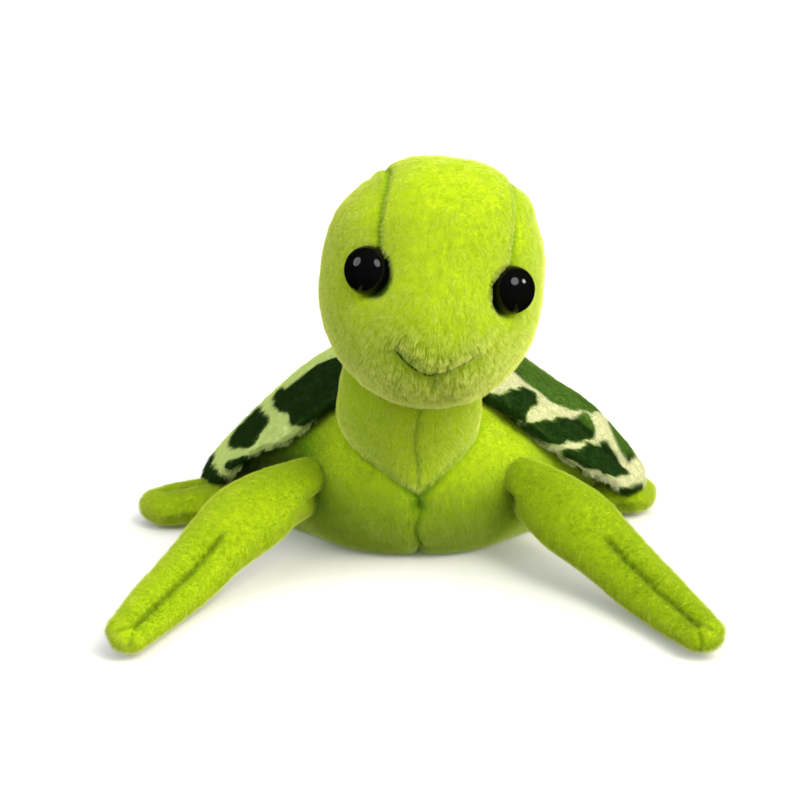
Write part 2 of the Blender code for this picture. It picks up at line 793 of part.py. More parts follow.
def rear_flipper(side):
    sign = SIDES[side]
    root = Vector((sign * REAR_ROOT.x, REAR_ROOT.y, REAR_ROOT.z))
    path = [
        root + Vector((sign * REAR_SPREAD[side], -REAR_FORWARD[side], -REAR_DROP)) * share
        for share in REAR_PATH_SHARES
    ]
    return {
        "name": "rear_flipper", "side": side, "count": REAR_POINTS, "path": path,
        "sections": REAR_SECTION_SHARES, "width": REAR_WIDTH, "thickness": REAR_THICKNESS,
        "roll": 0, "stitches": REAR_STITCH_SHARES,
    }


def make_flipper(flipper, mats):
    name, side, points = flipper["name"], flipper["side"], flipper["path"]
    hinge = pivot(f"{name}_{side}_hinge", points[0])
    cover_mesh = loft_mesh(f"{name}_{side}", flipper_rings(flipper, 0, ROOT_END_ANGLES[1:]), False)
    cover = finish(bpy.data.objects.new(f"{name}_{side}", cover_mesh), PARTS, mats["lime_plush"], hinge)
    subdivide(cover)
    stitches = stitch_points(evaluated_tree(cover), points, flipper["stitches"])
    thread(f"{name}_topstitch_{side}", stitches, mats["lime_thread"], hinge)
    sew_skin(cover)
    core_mesh = loft_mesh(
        f"{name}_stuffing_{side}", flipper_rings(flipper, FABRIC + 2 * FIT, ROOT_END_ANGLES), True
    )
    core = finish(bpy.data.objects.new(f"{name}_stuffing_{side}", core_mesh), PARTS, mats["stuffing"], hinge)
    subdivide(core)


def slot_cutters():
    """The slots in the body for the flippers' roots: lying cylinders in front, standing ones behind."""
    found = []
    for side in SIDES:
        front, rear = front_flipper(side), rear_flipper(side)
        across = Vector((0, 0, 1)).cross(level_heading(front["path"]))
        front_width = FRONT_WIDTH * FRONT_SECTION_SHARES[0][0] + 4 * FIT
        front_radius = FRONT_THICKNESS / 2 + 2 * FIT
        rear_radius = REAR_WIDTH * REAR_SECTION_SHARES[0][0] / 2 + 2 * FIT
        rear_height = REAR_THICKNESS + 4 * FIT
        upright = Vector((0, 0, 1))
        found += [
            cylinder(f"cut_front_slot_{side}", front_radius, front_width, front["path"][0], across),
            cylinder(f"cut_rear_slot_{side}", rear_radius, rear_height, rear["path"][0], upright),
        ]
    for cutter in found:
        as_cutter(finish(cutter, CUTTERS))
    return found


def make_flippers(mats):
    for side in SIDES:
        make_flipper(front_flipper(side), mats)
        make_flipper(rear_flipper(side), mats)


def make_turtle():
    mats = materials()
    neck_base, socket = neck_rooms()
    cutters = {
        "floor": floor_cutter(),
        "pellets": pellet_cutter(),
        "slots": slot_cutters(),
        "neck_base": neck_base,
    }
    make_body(mats, cutters)
    make_pellet_bag(mats)
    make_shell(mats, cutters)
    neck = pivot("neck_pivot", NECK_BASE)
    head = pivot("head_pivot", NECK_TOP, neck)
    make_neck(mats, neck)
    make_head(mats, head, socket)
    make_flippers(mats)


clear_scene()
PARTS = new_collection(NAME)
CUTTERS = new_collection("cutters")
make_turtle()
bpy.context.view_layer.update()
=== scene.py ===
import math

import bpy
import numpy as np
from mathutils import Matrix, Vector, noise
from mathutils.bvhtree import BVHTree


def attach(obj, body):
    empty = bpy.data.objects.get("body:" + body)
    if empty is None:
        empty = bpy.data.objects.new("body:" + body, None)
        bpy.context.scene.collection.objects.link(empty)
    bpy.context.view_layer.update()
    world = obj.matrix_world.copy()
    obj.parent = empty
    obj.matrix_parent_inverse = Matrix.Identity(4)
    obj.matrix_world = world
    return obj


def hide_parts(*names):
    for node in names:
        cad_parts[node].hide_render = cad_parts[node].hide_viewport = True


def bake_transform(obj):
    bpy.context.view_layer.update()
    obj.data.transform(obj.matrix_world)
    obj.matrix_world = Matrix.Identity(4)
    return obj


# A plush sea turtle in lime pile with a patterned shell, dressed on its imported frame.
# Metres; +X is the right of the picture and the turtle's own left, -Y is towards the camera.

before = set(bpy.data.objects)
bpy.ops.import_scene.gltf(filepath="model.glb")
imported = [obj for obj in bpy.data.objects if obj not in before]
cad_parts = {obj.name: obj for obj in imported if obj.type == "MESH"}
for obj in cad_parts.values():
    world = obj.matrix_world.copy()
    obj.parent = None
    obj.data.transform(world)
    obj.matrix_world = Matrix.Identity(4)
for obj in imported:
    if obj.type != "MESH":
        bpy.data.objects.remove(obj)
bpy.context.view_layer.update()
SIDES = {"left": 1, "right": -1}

# Camera
CAMERA_DISTANCE = 0.430
CAMERA_ELEVATION = math.radians(14.0)
CAMERA_TARGET = Vector((-0.0032, 0, 0.0296))
LENS_MM = 95
SENSOR_MM = 36

# Body
BODY_WIDTH = 0.062
BODY_LENGTH = 0.076
BODY_REST_HEIGHT = 0.013
BODY_CROWN = 0.0180
BODY_SAG = 0.0212
BODY_FLANK = 0.0088
BODY_FLANK_START = -0.002
BODY_FLANK_LENGTH = 0.020
BODY_CENTRE_Y = 0.0195
BODY_FULLNESS = 2.1
SHOULDER_RISE = 0.0075
SHOULDER_SPREAD = 0.015
SHOULDER_PLACE = (-0.0005, -0.002)
FLOOR_ROUNDING = 0.0015
BODY_CELLS = 84
BODY_SEAM_X = 0.0004
BODY_SEAM_WANDER = 0.0006
BODY_SEAM_WAVES = 700
BODY_PUCKER_Z = 0.0125
BODY_PUCKER_DEPTH = 0.0009
BODY_PUCKER_SPREAD = 0.0021

# Neck with the bib that it runs down into: height, middle across and along, half width, half depth
NECK_SLICES = (
    (0.0500, 0.0004, -0.0150, 0.0100, 0.0100),
    (0.0450, 0.0000, -0.0135, 0.0128, 0.0128),
    (0.0405, -0.0006, -0.0120, 0.0138, 0.0140),
    (0.0345, -0.0012, -0.0106, 0.0142, 0.0138),
    (0.0295, -0.0014, -0.0090, 0.0143, 0.0134),
    (0.0245, -0.0010, -0.0070, 0.0131, 0.0136),
    (0.0200, -0.0004, -0.0060, 0.0098, 0.0131),
    (0.0165, 0.0002, -0.0066, 0.0055, 0.0118),
    (0.0145, 0.0004, -0.0076, 0.0018, 0.0092),
)
NECK_ROWS = 110
NECK_COLUMNS = 220
NECK_CREASE_DEPTH = 0.0007
NECK_CREASE_WIDTH = 0.0011
NECK_SEAM_X = 0.0002
NECK_SEAM_WANDER = 0.0005
NECK_SEAM_WAVES = 420

# Shell
SHELL_WIDTH = 0.0954
SHELL_CENTRE_X = 0.0022
SHELL_CENTRE_Y = 0.022
SHELL_FRONT_REACH = 0.026
SHELL_REAR_REACH = 0.048
SHELL_CROWN_Z = 0.0396
SHELL_SIDE_Z = 0.0072
SHELL_FRONT_RISE = 0.0270
SHELL_REAR_RISE = 0.003
SHELL_PADDING = 0.0052
SHELL_RISE_POWER = 2.4
SHELL_DOME_POWER = 1.66
SHELL_TILT = 0.008
SHELL_EDGE_POWER = 3.8
SHELL_COLUMNS = 300
SHELL_ROWS = 96
SCALLOPS = 11
SCALLOP_DEPTH = 0.0009
SCALLOP_REACH = 0.04
# Angles of the shell's section: the crown's small hole, and the edge tucked in under the rim
SHELL_CROWN_ANGLE = 0.02
SHELL_TUCK_ANGLE = math.pi / 2 + 0.35
SHELL_TUCK_OVERLAP = 0.03
# Folds where the rim droops: middle and spread in degrees round the shell, drop
RIM_FOLDS = (
    (231, 9, 0.0024), (306, 20, 0.0050), (332, 16, 0.0034),
    (120, 16, 0.0014), (58, 14, 0.0016), (190, 14, 0.0024),
)
RIM_FOLD_POWER = 2.5
# Where the rim is stuffed fuller: middle and spread in degrees round it, share of extra thickness
RIM_PUFFS = ((322, 20, 0.50), (352, 16, 0.45), (190, 16, 0.80))
# Swells and dents of the shell's top: place in plan from its centre, spread in both directions, rise
SHELL_SWELLS = (
    ((-0.0225, 0.0), (0.0070, 0.0120), 0.0006), ((-0.0365, 0.0), (0.0050, 0.0100), -0.0006),
    ((0.0243, 0.0), (0.0058, 0.0110), -0.0017), ((0.0355, 0.0020), (0.0050, 0.0100), 0.0009),
)
# Crease behind the right front band, in plan from the shell's centre
SHELL_CREASE = (
    (0.0120, -0.0035), (0.0160, -0.0085), (0.0194, -0.0120), (0.0240, -0.0108), (0.0277, -0.0078),
    (0.0318, -0.0078), (0.0373, -0.0076), (0.0402, -0.0066), (0.0440, 0.0000),
)
SHELL_CREASE_DEPTH = 0.0011
SHELL_CREASE_WIDTH = 0.0012

# Shell's print: the outlines of its dark patches near the front, in plan from the shell's centre
PRINT_PATCHES = (
    ((-0.0280, 0.0020), (-0.0246, -0.0024), (-0.0225, -0.0036), (-0.0208, -0.0022), (-0.0188, -0.0026),
     (-0.0168, -0.0046), (-0.0135, -0.0080), (-0.0135, -0.0160), (-0.0140, -0.0300), (-0.0190, -0.0310),
     (-0.0232, -0.0285), (-0.0254, -0.0232), (-0.0258, -0.0200), (-0.0272, -0.0152), (-0.0282, -0.0125),
     (-0.0284, -0.0070)),
    ((-0.0322, 0.0040), (-0.0303, -0.0060), (-0.0306, -0.0118), (-0.0317, -0.0141), (-0.0339, -0.0153),
     (-0.0357, -0.0146), (-0.0372, -0.0100), (-0.0386, -0.0040), (-0.0385, 0.0030), (-0.0345, 0.0060)),
    ((-0.0424, 0.0010), (-0.0426, -0.0045), (-0.0418, -0.0092), (-0.0430, -0.0115), (-0.0460, -0.0112),
     (-0.0490, -0.0060), (-0.0490, 0.0040), (-0.0440, 0.0070)),
    ((-0.0403, -0.0112), (-0.0393, -0.0117), (-0.0386, -0.0136), (-0.0370, -0.0156), (-0.0368, -0.0190),
     (-0.0415, -0.0185), (-0.0418, -0.0138)),
    ((0.0132, -0.0035), (0.0160, -0.0075), (0.0179, -0.0086), (0.0196, -0.0095), (0.0221, -0.0093),
     (0.0241, -0.0079), (0.0272, -0.0056), (0.0300, -0.0034), (0.0319, -0.0020), (0.0342, 0.0036),
     (0.0300, 0.0080), (0.0200, 0.0070), (0.0140, 0.0020)),
    ((0.0358, 0.0020), (0.0362, -0.0028), (0.0372, -0.0044), (0.0388, -0.0054), (0.0412, -0.0040),
     (0.0430, -0.0005), (0.0428, 0.0040), (0.0410, 0.0090), (0.0362, 0.0080)),
    ((0.0090, -0.0240), (0.0120, -0.0232), (0.0144, -0.0208), (0.0157, -0.0172), (0.0174, -0.0118),
     (0.0188, -0.0104), (0.0206, -0.0108), (0.0198, -0.0160), (0.0192, -0.0200), (0.0194, -0.0245),
     (0.0170, -0.0285), (0.0120, -0.0275)),
    ((0.0200, -0.0222), (0.0231, -0.0162), (0.0262, -0.0100), (0.0286, -0.0055), (0.0294, -0.0038),
     (0.0308, -0.0033), (0.0319, -0.0048), (0.0322, -0.0063), (0.0303, -0.0130), (0.0262, -0.0198),
     (0.0248, -0.0235), (0.0220, -0.0260), (0.0195, -0.0260)),
    ((0.0273, -0.0198), (0.0302, -0.0155), (0.0326, -0.0100), (0.0346, -0.0063), (0.0366, -0.0066),
     (0.0388, -0.0071), (0.0404, -0.0080), (0.0389, -0.0112), (0.0371, -0.0150), (0.0337, -0.0178),
     (0.0312, -0.0200), (0.0288, -0.0212)),
    ((0.0300, -0.0230), (0.0350, -0.0190), (0.0397, -0.0146), (0.0410, -0.0110), (0.0434, -0.0072),
     (0.0452, -0.0064), (0.0520, -0.0080), (0.0520, -0.0180), (0.0460, -0.0240), (0.0340, -0.0300)),
)
PRINT_ZONE_BACK = 0.009
PRINT_ZONE_SIDE = 0.0085
PRINT_CELL = (0.0145, 0.0120)
PRINT_CELL_ROWS = range(-4, 7)
PRINT_CELL_COLUMNS = range(-5, 6)
PRINT_BAND = 0.0013
PRINT_WANDER = 0.0007
PRINT_WANDER_SIZE = 0.0032
PRINT_DEPTH = 0.006

# Head
HEAD_CENTRE = Vector((0.0028, -0.020, 0.0582))
HEAD_WIDTH = 0.0426
HEAD_DEPTH = 0.0490
HEAD_HEIGHT = 0.0464
HEAD_FULLNESS = 2.15
HEAD_BROW = 0.36
HEAD_TOP_SHIFT = 0.0012
# The head narrows at its temples, above the eyes
HEAD_PINCH_SHARE = 0.030
HEAD_PINCH_Z = 0.0150
HEAD_PINCH_SPREAD = 0.0036
HEAD_TILT = math.radians(7.1)
HEAD_PITCH = math.radians(5.0)
HEAD_YAW = math.radians(3.5)
HEAD_CELLS = 118
MUZZLE_REACH = 0.0045
MUZZLE_DROP = 0.0115
MUZZLE_SPREAD = 0.0125
GUSSET_HALF = {"left": 0.0124, "right": 0.0141}
GUSSET_SPLAY = {"left": 0.0013, "right": 0.0029}
GUSSET_SPLAY_START = 0.009
GUSSET_SPLAY_RISE = 0.0135
GUSSET_SHIFT = 0.0009
GUSSET_END = 0.0040
GUSSET_RAISE = 0.0008
GUSSET_STITCH = 0.0011
HEAD_PILE = 0.0019

# Eyes
EYE_DIAMETER = 0.009
EYE_DOME = 0.0036
EYE_RIM = 0.0006
EYE_APART = 0.0267
EYE_SHIFT = -0.00025
EYE_HEIGHT = {"left": 0.0015, "right": 0.0021}
EYE_SPLAY = {"left": math.radians(30.0), "right": math.radians(37.0)}
EYE_SINK = 0.0005
SOCKET_MARGIN = 0.0002
SOCKET_SLOPE = 1.2
EYE_STEPS = 72
SOCKET_DEPTH = 0.0009
SOCKET_SPREAD = 0.0062
# The pile round an eye is cut back in a shape this much narrower than high
SOCKET_NARROWING = 1.25

# Mouth
MOUTH_POINTS = (
    (-0.00745, -0.0111), (-0.0047, -0.0136), (-0.0015, -0.0153), (-0.0001, -0.0155), (0.0013, -0.0150),
    (0.0043, -0.0134), (0.0069, -0.0114), (0.0080, -0.0107),
)
CHIN_SEAM = ((-0.0001, -0.0155), (0.0038, -0.0196))
MOUTH_THREAD = 0.00019
MOUTH_DEPTH = 0.0008
MOUTH_GROOVE_WIDTH = 0.0006
MOUTH_DIMPLE_WIDTH = 0.0022

# Seams: how deep and how wide the fabric draws in
SEAM_DEPTH = 0.0006
SEAM_WIDTH = 0.0006
PUFF_DEPTH = 0.0005
PUFF_WIDTH = 0.0032

# Pile: its strands' length and radius, parents per square metre, and children of each
PILE_LENGTH = 0.0012
STRAND_RADIUS = 0.000030
PILE_DENSITY = 0.7e6
PILE_CHILDREN = 44
PILE_CLUMP = 0.26
PILE_STAND = 0.0006
# Heights and sizes of the clumps that its fabric shows
LIME_TUFTS = (0.00012, 0.0009)
HEAD_TUFTS = (0.00014, 0.0010)
SHELL_TUFTS = (0.00015, 0.0010)

# Front flippers. Their paths are shares of reach, spread and drop; sections are shares of width,
# thickness and roll.
FRONT_ROOT = Vector((0.0208, -0.0052, 0.0132))
FRONT_REACH = 0.0600
FRONT_SPREAD = 0.0290
FRONT_DROP = 0.0092
FRONT_WIDTH = 0.0132
FRONT_THICKNESS = 0.0098
FRONT_ROLL = {"left": math.radians(26.0), "right": math.radians(40.0)}
FRONT_PATH_SHARES = {
    "left": ((0, 0, 0), (0.19, 0.19, 0.05), (0.34, 0.36, 0.22), (0.48, 0.53, 0.50), (0.64, 0.70, 0.80),
             (0.83, 0.86, 0.97), (1.02, 0.99, 1)),
    "right": ((0, 0, 0), (0.17, 0.25, 0.04), (0.31, 0.43, 0.18), (0.45, 0.60, 0.46), (0.61, 0.76, 0.80),
              (0.82, 0.92, 0.97), (1.02, 1.03, 1)),
}
FRONT_SECTION_SHARES = (
    (0.90, 1.16, 0.0), (1.10, 1.34, 0.30), (1.18, 1.32, 0.65), (1.02, 1.10, 0.90), (0.93, 0.94, 1.0),
    (0.81, 0.80, 1.0), (0.64, 0.66, 1.0),
)
FRONT_TIP_SHARE = 0.42
FRONT_CHANNEL_SHARES = (0.47, 0.93)
FRONT_LEAN = 0.0068
# A second, shallower fold along the flipper's lower face, at its angle round the section
FRONT_FOLD_ANGLE = math.radians(-62)
FRONT_FOLD_DEPTH = 0.0005
FRONT_FOLD_START = 0.45
FRONT_CUT = 0.0125

# Rear flippers
REAR_ROOT = Vector((0.0296, 0.0255, 0.0040))
REAR_SPREAD = {"left": 0.0168, "right": 0.0228}
REAR_FORWARD = {"left": 0.0065, "right": 0.0155}
REAR_DROP = 0.0003
REAR_WIDTH = 0.0165
REAR_THICKNESS = 0.0072
REAR_PATH_SHARES = (0, 0.42, 0.80, 1)
REAR_SECTION_SHARES = ((0.50, 1.00, 0.0), (0.85, 1.12, 0.0), (0.98, 1.22, 0.0), (0.84, 1.16, 0.0))
REAR_TIP_SHARE = 0.30
REAR_FOLD_ANGLE = math.radians(-15)
REAR_FOLD_DEPTH = 0.0005
REAR_FOLD_START = 0.10
REAR_CHANNEL_SHARES = (0.45, 0.92)

# Both kinds of flipper: the drawn-in line along the top, its fork at the tip and the fold below
CHANNEL_DEPTH = 0.0006
CHANNEL_WIDTH = 0.0006
CHANNEL_DIMPLE_DEPTH = 0.0008
CHANNEL_DIMPLE_WIDTH = 0.0028
FORK_SPLAY = 0.030
FORK_DEPTH = 0.0003
FORK_WIDTH = 0.0006
FOLD_SPREAD = 0.22
FLIPPER_CLEARANCE = 0.0006
FLIPPER_PILE_SHARE = 0.85
FLIPPER_DENSITY_SHARE = 1.5
FLIPPER_ROWS = 150
FLIPPER_COLUMNS = 96

# Colours that the lime and the printed pile go to where shade is painted on them: in seams and creases,
# round the eyes, under the shell and low down by the floor
LIME_PAINTED_SHADE = ((0.170, 0.330, 0.002), (0.010, 0.030, 0.001))
SHELL_PAINTED_SHADE = ((0.010, 0.036, 0.001), (0.004, 0.012, 0.001))
# Deep and light shades of the print, plain and then a paler copy painted where light falls on the pile
CREAM = (((0.50, 0.62, 0.16), (0.72, 0.84, 0.34)), ((0.50, 0.53, 0.26), (0.76, 0.77, 0.51)))
DARK_GREEN = (
    ((0.004, 0.018, 0.001), (0.020, 0.068, 0.002)), ((0.022, 0.068, 0.004), (0.120, 0.245, 0.024)),
)

# Light: the world's brightest way, middle brightness, slope and least, then lamps: way, strength, spread
SKY_WAY = Vector((0.30, -0.22, 0.93))
SKY_LEVEL = 0.57
SKY_SLOPE = 0.52
SKY_LEAST = 0.22
SOFT_LAMPS = {
    "key": ((0.44, -0.50, 0.745), 1.52, 30),
    "right": ((0.90, -0.30, 0.32), 2.10, 40),
    "left": ((-0.83, -0.24, 0.51), 0.72, 35),
    "front": ((0.10, -0.98, 0.04), 0.52, 60),
}
WARM_LAMPS = ("key", "right")
WARM_LIGHT = (1.0, 0.94, 0.80)
# Lamps that show only as glints in the eyes and as sheen on the pile: way, width, brightness
GLINTS = {
    "left_glint": ((-0.83, -0.22, 0.51), 0.32, 1.7),
    "front_glint": ((0.46, -0.62, 0.62), 0.34, 2.8),
    "right_glint": ((0.894, -0.16, 0.42), 0.14, 1.5),
}
GLINT_DISTANCE = 0.60
FLOOR_HALF = 3.0
FLOOR_COLOUR = (0.92, 0.92, 0.92, 1)
PLAIN_WHITE = (1, 1, 1)


# Meshes

def smooth_step(value):
    value = np.clip(value, 0, 1)
    return value * value * (3 - 2 * value)


def bell(distance, width):
    return np.exp(-((distance / width) ** 2))


def turn_between(turns, middle):
    """Angles from a middle one, less than half a turn either way."""
    return np.arctan2(np.sin(turns - middle), np.cos(turns - middle))


def ring(row, columns):
    """Numbers of the points in one ring of a tube."""
    return list(range(row * columns, (row + 1) * columns))


def add_object(name, data):
    made = bpy.data.objects.new(name, data)
    bpy.context.scene.collection.objects.link(made)
    return made


def build_mesh(name, points, faces):
    mesh = bpy.data.meshes.new(name)
    mesh.from_pydata(points.tolist(), [], faces)
    mesh.validate()
    mesh.shade_smooth()
    return mesh


def outward_normals(points, quads):
    """Unit normals at the points of a quad mesh, facing as its faces do."""
    quads = np.asarray(quads)
    ways = np.cross(points[quads[:, 2]] - points[quads[:, 0]], points[quads[:, 3]] - points[quads[:, 1]])
    total = np.zeros_like(points)
    for corner in range(4):
        np.add.at(total, quads[:, corner], ways)
    return total / np.maximum(np.linalg.norm(total, axis=1), 1e-12)[:, None]


def cube_ball(cells):
    """Even directions from a cube's grid, and its quads, facing outwards."""
    steps = np.tan(np.linspace(-math.pi / 4, math.pi / 4, cells + 1))
    across, up = np.meshgrid(steps, steps, indexing="ij")
    ones = np.ones_like(across)
    sides = (
        (ones, across, up), (-ones, up, across), (up, ones, across),
        (across, -ones, up), (across, up, ones), (up, across, -ones),
    )
    points, quads = [], []
    count = cells + 1
    for index, side in enumerate(sides):
        points.append(np.stack([part.ravel() for part in side], axis=1))
        at = np.arange(count * count).reshape(count, count) + index * count * count
        quads.append(np.stack([at[:-1, :-1], at[1:, :-1], at[1:, 1:], at[:-1, 1:]], axis=-1).reshape(-1, 4))
    points, quads = np.concatenate(points), np.concatenate(quads)
    kept, where = np.unique(np.round(points, 6), axis=0, return_inverse=True)
    quads = where.reshape(-1)[quads]
    return kept / np.linalg.norm(kept, axis=1)[:, None], quads


def tube_faces(rows, columns):
    """Quads round a tube of rings, from the first ring to the last."""
    at = np.arange(rows * columns).reshape(rows, columns)
    following = np.roll(at, -1, axis=1)
    return np.stack([at[:-1], following[:-1], following[1:], at[1:]], axis=-1).reshape(-1, 4)


def curve_through(values, count):
    """An even run of points on a smooth curve through a few given rows."""
    values = np.asarray(values, float)
    ends = np.vstack([2 * values[0] - values[1], values, 2 * values[-1] - values[-2]])
    found = []
    for t in np.linspace(0, len(values) - 1, count):
        k = min(int(t), len(values) - 2)
        u = t - k
        a, b, c, d = ends[k:k + 4]
        found.append(0.5 * (
            2 * b + (c - a) * u + (2 * a - 5 * b + 4 * c - d) * u**2 + (3 * b - a - 3 * c + d) * u**3
        ))
    return np.array(found)


def line_distance(points, line):
    """Distance from each 2D point to a polyline."""
    line = np.asarray(line, float)
    best = np.full(len(points), np.inf)
    for a, b in zip(line, line[1:]):
        along = b - a
        share = np.clip(((points - a) @ along) / (along @ along), 0, 1)
        best = np.minimum(best, np.linalg.norm(points - a - share[:, None] * along, axis=1))
    return best


def tufts(points, nap, kind):
    """Rise of the pile's clumps, drawn out along its nap; kind is their height and size."""
    height, size = kind
    nap = np.asarray(nap, float)
    if nap.ndim == 1:
        nap = np.broadcast_to(nap, points.shape)
    along = np.einsum("ij,ij->i", points, nap)[:, None]
    drawn = (points - 0.62 * along * nap) / size
    fine = drawn * 2.3 + 7.1
    coarse_noise = np.array([noise.noise(p) for p in drawn])
    fine_noise = np.array([noise.noise(p) for p in fine])
    return height * (coarse_noise + 0.55 * fine_noise)


def above_floor(height, floor=0.0):
    over = height - floor
    return floor + (over + np.hypot(over, FLOOR_ROUNDING)) / 2


def seam(distance, depth=1.0):
    """How far the fabric draws in at a distance from a seam."""
    return depth * (SEAM_DEPTH * bell(distance, SEAM_WIDTH) + PUFF_DEPTH * bell(distance, PUFF_WIDTH))


def inside_outline(points, corners):
    """Distance of 2D points to a smooth closed line through corners, more than zero inside it."""
    corners = np.asarray(corners)
    looped = np.vstack([corners[-1], corners, corners[:2]])
    line = curve_through(looped, 6 * len(looped))
    x, y = points.T
    crossings = np.zeros(len(points), bool)
    closed = line[6:-6]
    for (ax, ay), (bx, by) in zip(closed, np.roll(closed, -1, axis=0)):
        spans = (ay > y) != (by > y)
        crossings ^= spans & (x < ax + (bx - ax) * (y - ay) / (by - ay if by != ay else 1))
    away = line_distance(points, np.vstack([closed, closed[:1]]))
    return np.where(crossings, away, -away)


# Materials

def new_material(name):
    made = bpy.data.materials.new(name)
    made.use_nodes = True
    nodes = made.node_tree.nodes
    nodes.clear()
    shader = nodes.new("ShaderNodeBsdfPrincipled")
    output = nodes.new("ShaderNodeOutputMaterial")
    made.node_tree.links.new(shader.outputs[0], output.inputs["Surface"])
    return made, shader


def set_inputs(node, values):
    for name, value in values.items():
        node.inputs[name].default_value = value


def noise_node(tree, coordinates, scale, detail=3.0, roughness=0.55):
    node = tree.nodes.new("ShaderNodeTexNoise")
    set_inputs(node, {"Scale": scale, "Detail": detail, "Roughness": roughness})
    tree.links.new(coordinates, node.inputs["Vector"])
    return node.outputs["Fac"]


def ramp_node(tree, factor, stops):
    node = tree.nodes.new("ShaderNodeValToRGB")
    ramp = node.color_ramp
    while len(ramp.elements) < len(stops):
        ramp.elements.new(0.5)
    for element, (place, colour) in zip(ramp.elements, stops):
        element.position = place
        element.color = (*colour, 1)
    tree.links.new(factor, node.inputs["Fac"])
    return node.outputs["Color"]


def times(tree, value, factor):
    return math_node(tree, "MULTIPLY", value, factor)


def math_node(tree, operation, first, second):
    node = tree.nodes.new("ShaderNodeMath")
    node.operation = operation
    for socket, value in zip(node.inputs, (first, second)):
        if isinstance(value, (int, float)):
            socket.default_value = value
        else:
            tree.links.new(value, socket)
    return node.outputs[0]


def object_place(tree):
    return tree.nodes.new("ShaderNodeTexCoord").outputs["Object"]


def bump_node(tree, height, strength, distance):
    node = tree.nodes.new("ShaderNodeBump")
    set_inputs(node, {"Strength": strength, "Distance": distance})
    tree.links.new(height, node.inputs["Height"])
    return node.outputs["Normal"]


def plush_material(name, deep, middle, light):
    """Short pile: a random tone that follows its bump, painted as shade between its clumps and as light on
    their tips.
    """
    made, shader = new_material(name)
    tree = made.node_tree
    place = object_place(tree)
    clumps = noise_node(tree, place, 900, 4.0, 0.65)
    broad = noise_node(tree, place, 90, 2.0)
    mixed = math_node(tree, "ADD", times(tree, clumps, 0.75), times(tree, broad, 0.25))
    colour = ramp_node(tree, mixed, ((0.30, deep), (0.50, middle), (0.70, light)))
    tree.links.new(shaded(tree, colour, LIME_PAINTED_SHADE), shader.inputs["Base Color"])
    fibres = noise_node(tree, place, 2600, 3.0, 0.7)
    height = math_node(tree, "ADD", clumps, times(tree, fibres, 0.6))
    tree.links.new(bump_node(tree, height, 0.55, 0.0004), shader.inputs["Normal"])
    set_inputs(shader, {
        "Roughness": 0.95, "Specular IOR Level": 0.15,
        "Sheen Weight": 0.35, "Sheen Roughness": 0.45, "Sheen Tint": (*light, 1),
    })
    return made


def painted(tree, name):
    """A share painted on the piece, zero where it has none of that name."""
    node = tree.nodes.new("ShaderNodeAttribute")
    node.attribute_name = name
    return node.outputs["Fac"]


def mix_colours(tree, share, first, second):
    node = tree.nodes.new("ShaderNodeMix")
    node.data_type = "RGBA"
    tree.links.new(share, node.inputs["Factor"])
    for name, colour in (("A", first), ("B", second)):
        if isinstance(colour, tuple):
            node.inputs[name].default_value = (*colour, 1)
        else:
            tree.links.new(colour, node.inputs[name])
    return node.outputs["Result"]


def shaded(tree, colour, deep):
    """Painted shade: a colour that goes to a first and then a second deep one where shade is painted on the
    piece.
    """
    share = times(tree, painted(tree, "shade"), 2)
    first = mix_colours(tree, share, colour, deep[0])
    return mix_colours(tree, math_node(tree, "SUBTRACT", share, 1), first, deep[1])


def print_share(tree, scatter, amount):
    """Share of dark green at a place of the shell's print, with its edges broken up by scatter."""
    loose = times(tree, math_node(tree, "SUBTRACT", scatter, 0.5), amount)
    value = math_node(tree, "ADD", painted(tree, "print"), loose)
    return ramp_node(tree, value, ((0.485, (0, 0, 0)), (0.515, (1, 1, 1))))


def print_colour(tree, share, along, cream, dark):
    """The print's colour; cream and dark each go from a deep shade, painted shade low in the pile, to a
    light one, plain and then in a paler copy for painted light; the shade painted on the piece goes on top.
    """
    shades = []
    for plain, brushed in (cream, dark):
        ramps = [ramp_node(tree, along, ((0.2, deep), (0.8, light))) for deep, light in (plain, brushed)]
        shades.append(mix_colours(tree, painted(tree, "brushed"), *ramps))
    return shaded(tree, mix_colours(tree, share, *shades), SHELL_PAINTED_SHADE)


def printed_material(name, cream, dark):
    """Short pile printed with dark patches on cream."""
    made, shader = new_material(name)
    tree = made.node_tree
    clumps = noise_node(tree, object_place(tree), 900, 4.0, 0.65)
    colour = print_colour(tree, print_share(tree, clumps, 0.10), clumps, cream, dark)
    tree.links.new(colour, shader.inputs["Base Color"])
    tree.links.new(bump_node(tree, clumps, 0.5, 0.0004), shader.inputs["Normal"])
    set_inputs(shader, {"Roughness": 0.95, "Specular IOR Level": 0.15})
    return made


def printed_strands(name, cream, dark):
    """Single strands of pile, printed as the fabric under them is."""
    made, shader = new_material(name)
    tree = made.node_tree
    hair = tree.nodes.new("ShaderNodeHairInfo")
    share = print_share(tree, hair.outputs["Random"], 0.06)
    colour = print_colour(tree, share, hair.outputs["Intercept"], cream, dark)
    tree.links.new(colour, shader.inputs["Base Color"])
    set_inputs(shader, {"Roughness": 0.6, "Specular IOR Level": 0.10})
    return made


def plastic_material(name, colour, roughness):
    made, shader = new_material(name)
    tree = made.node_tree
    wear = noise_node(tree, object_place(tree), 420, 2.0)
    darker = tuple(part * 0.8 for part in colour)
    tree.links.new(ramp_node(tree, wear, ((0.35, darker), (0.65, colour))), shader.inputs["Base Color"])
    set_inputs(shader, {"Roughness": roughness, "Specular IOR Level": 0.18})
    return made


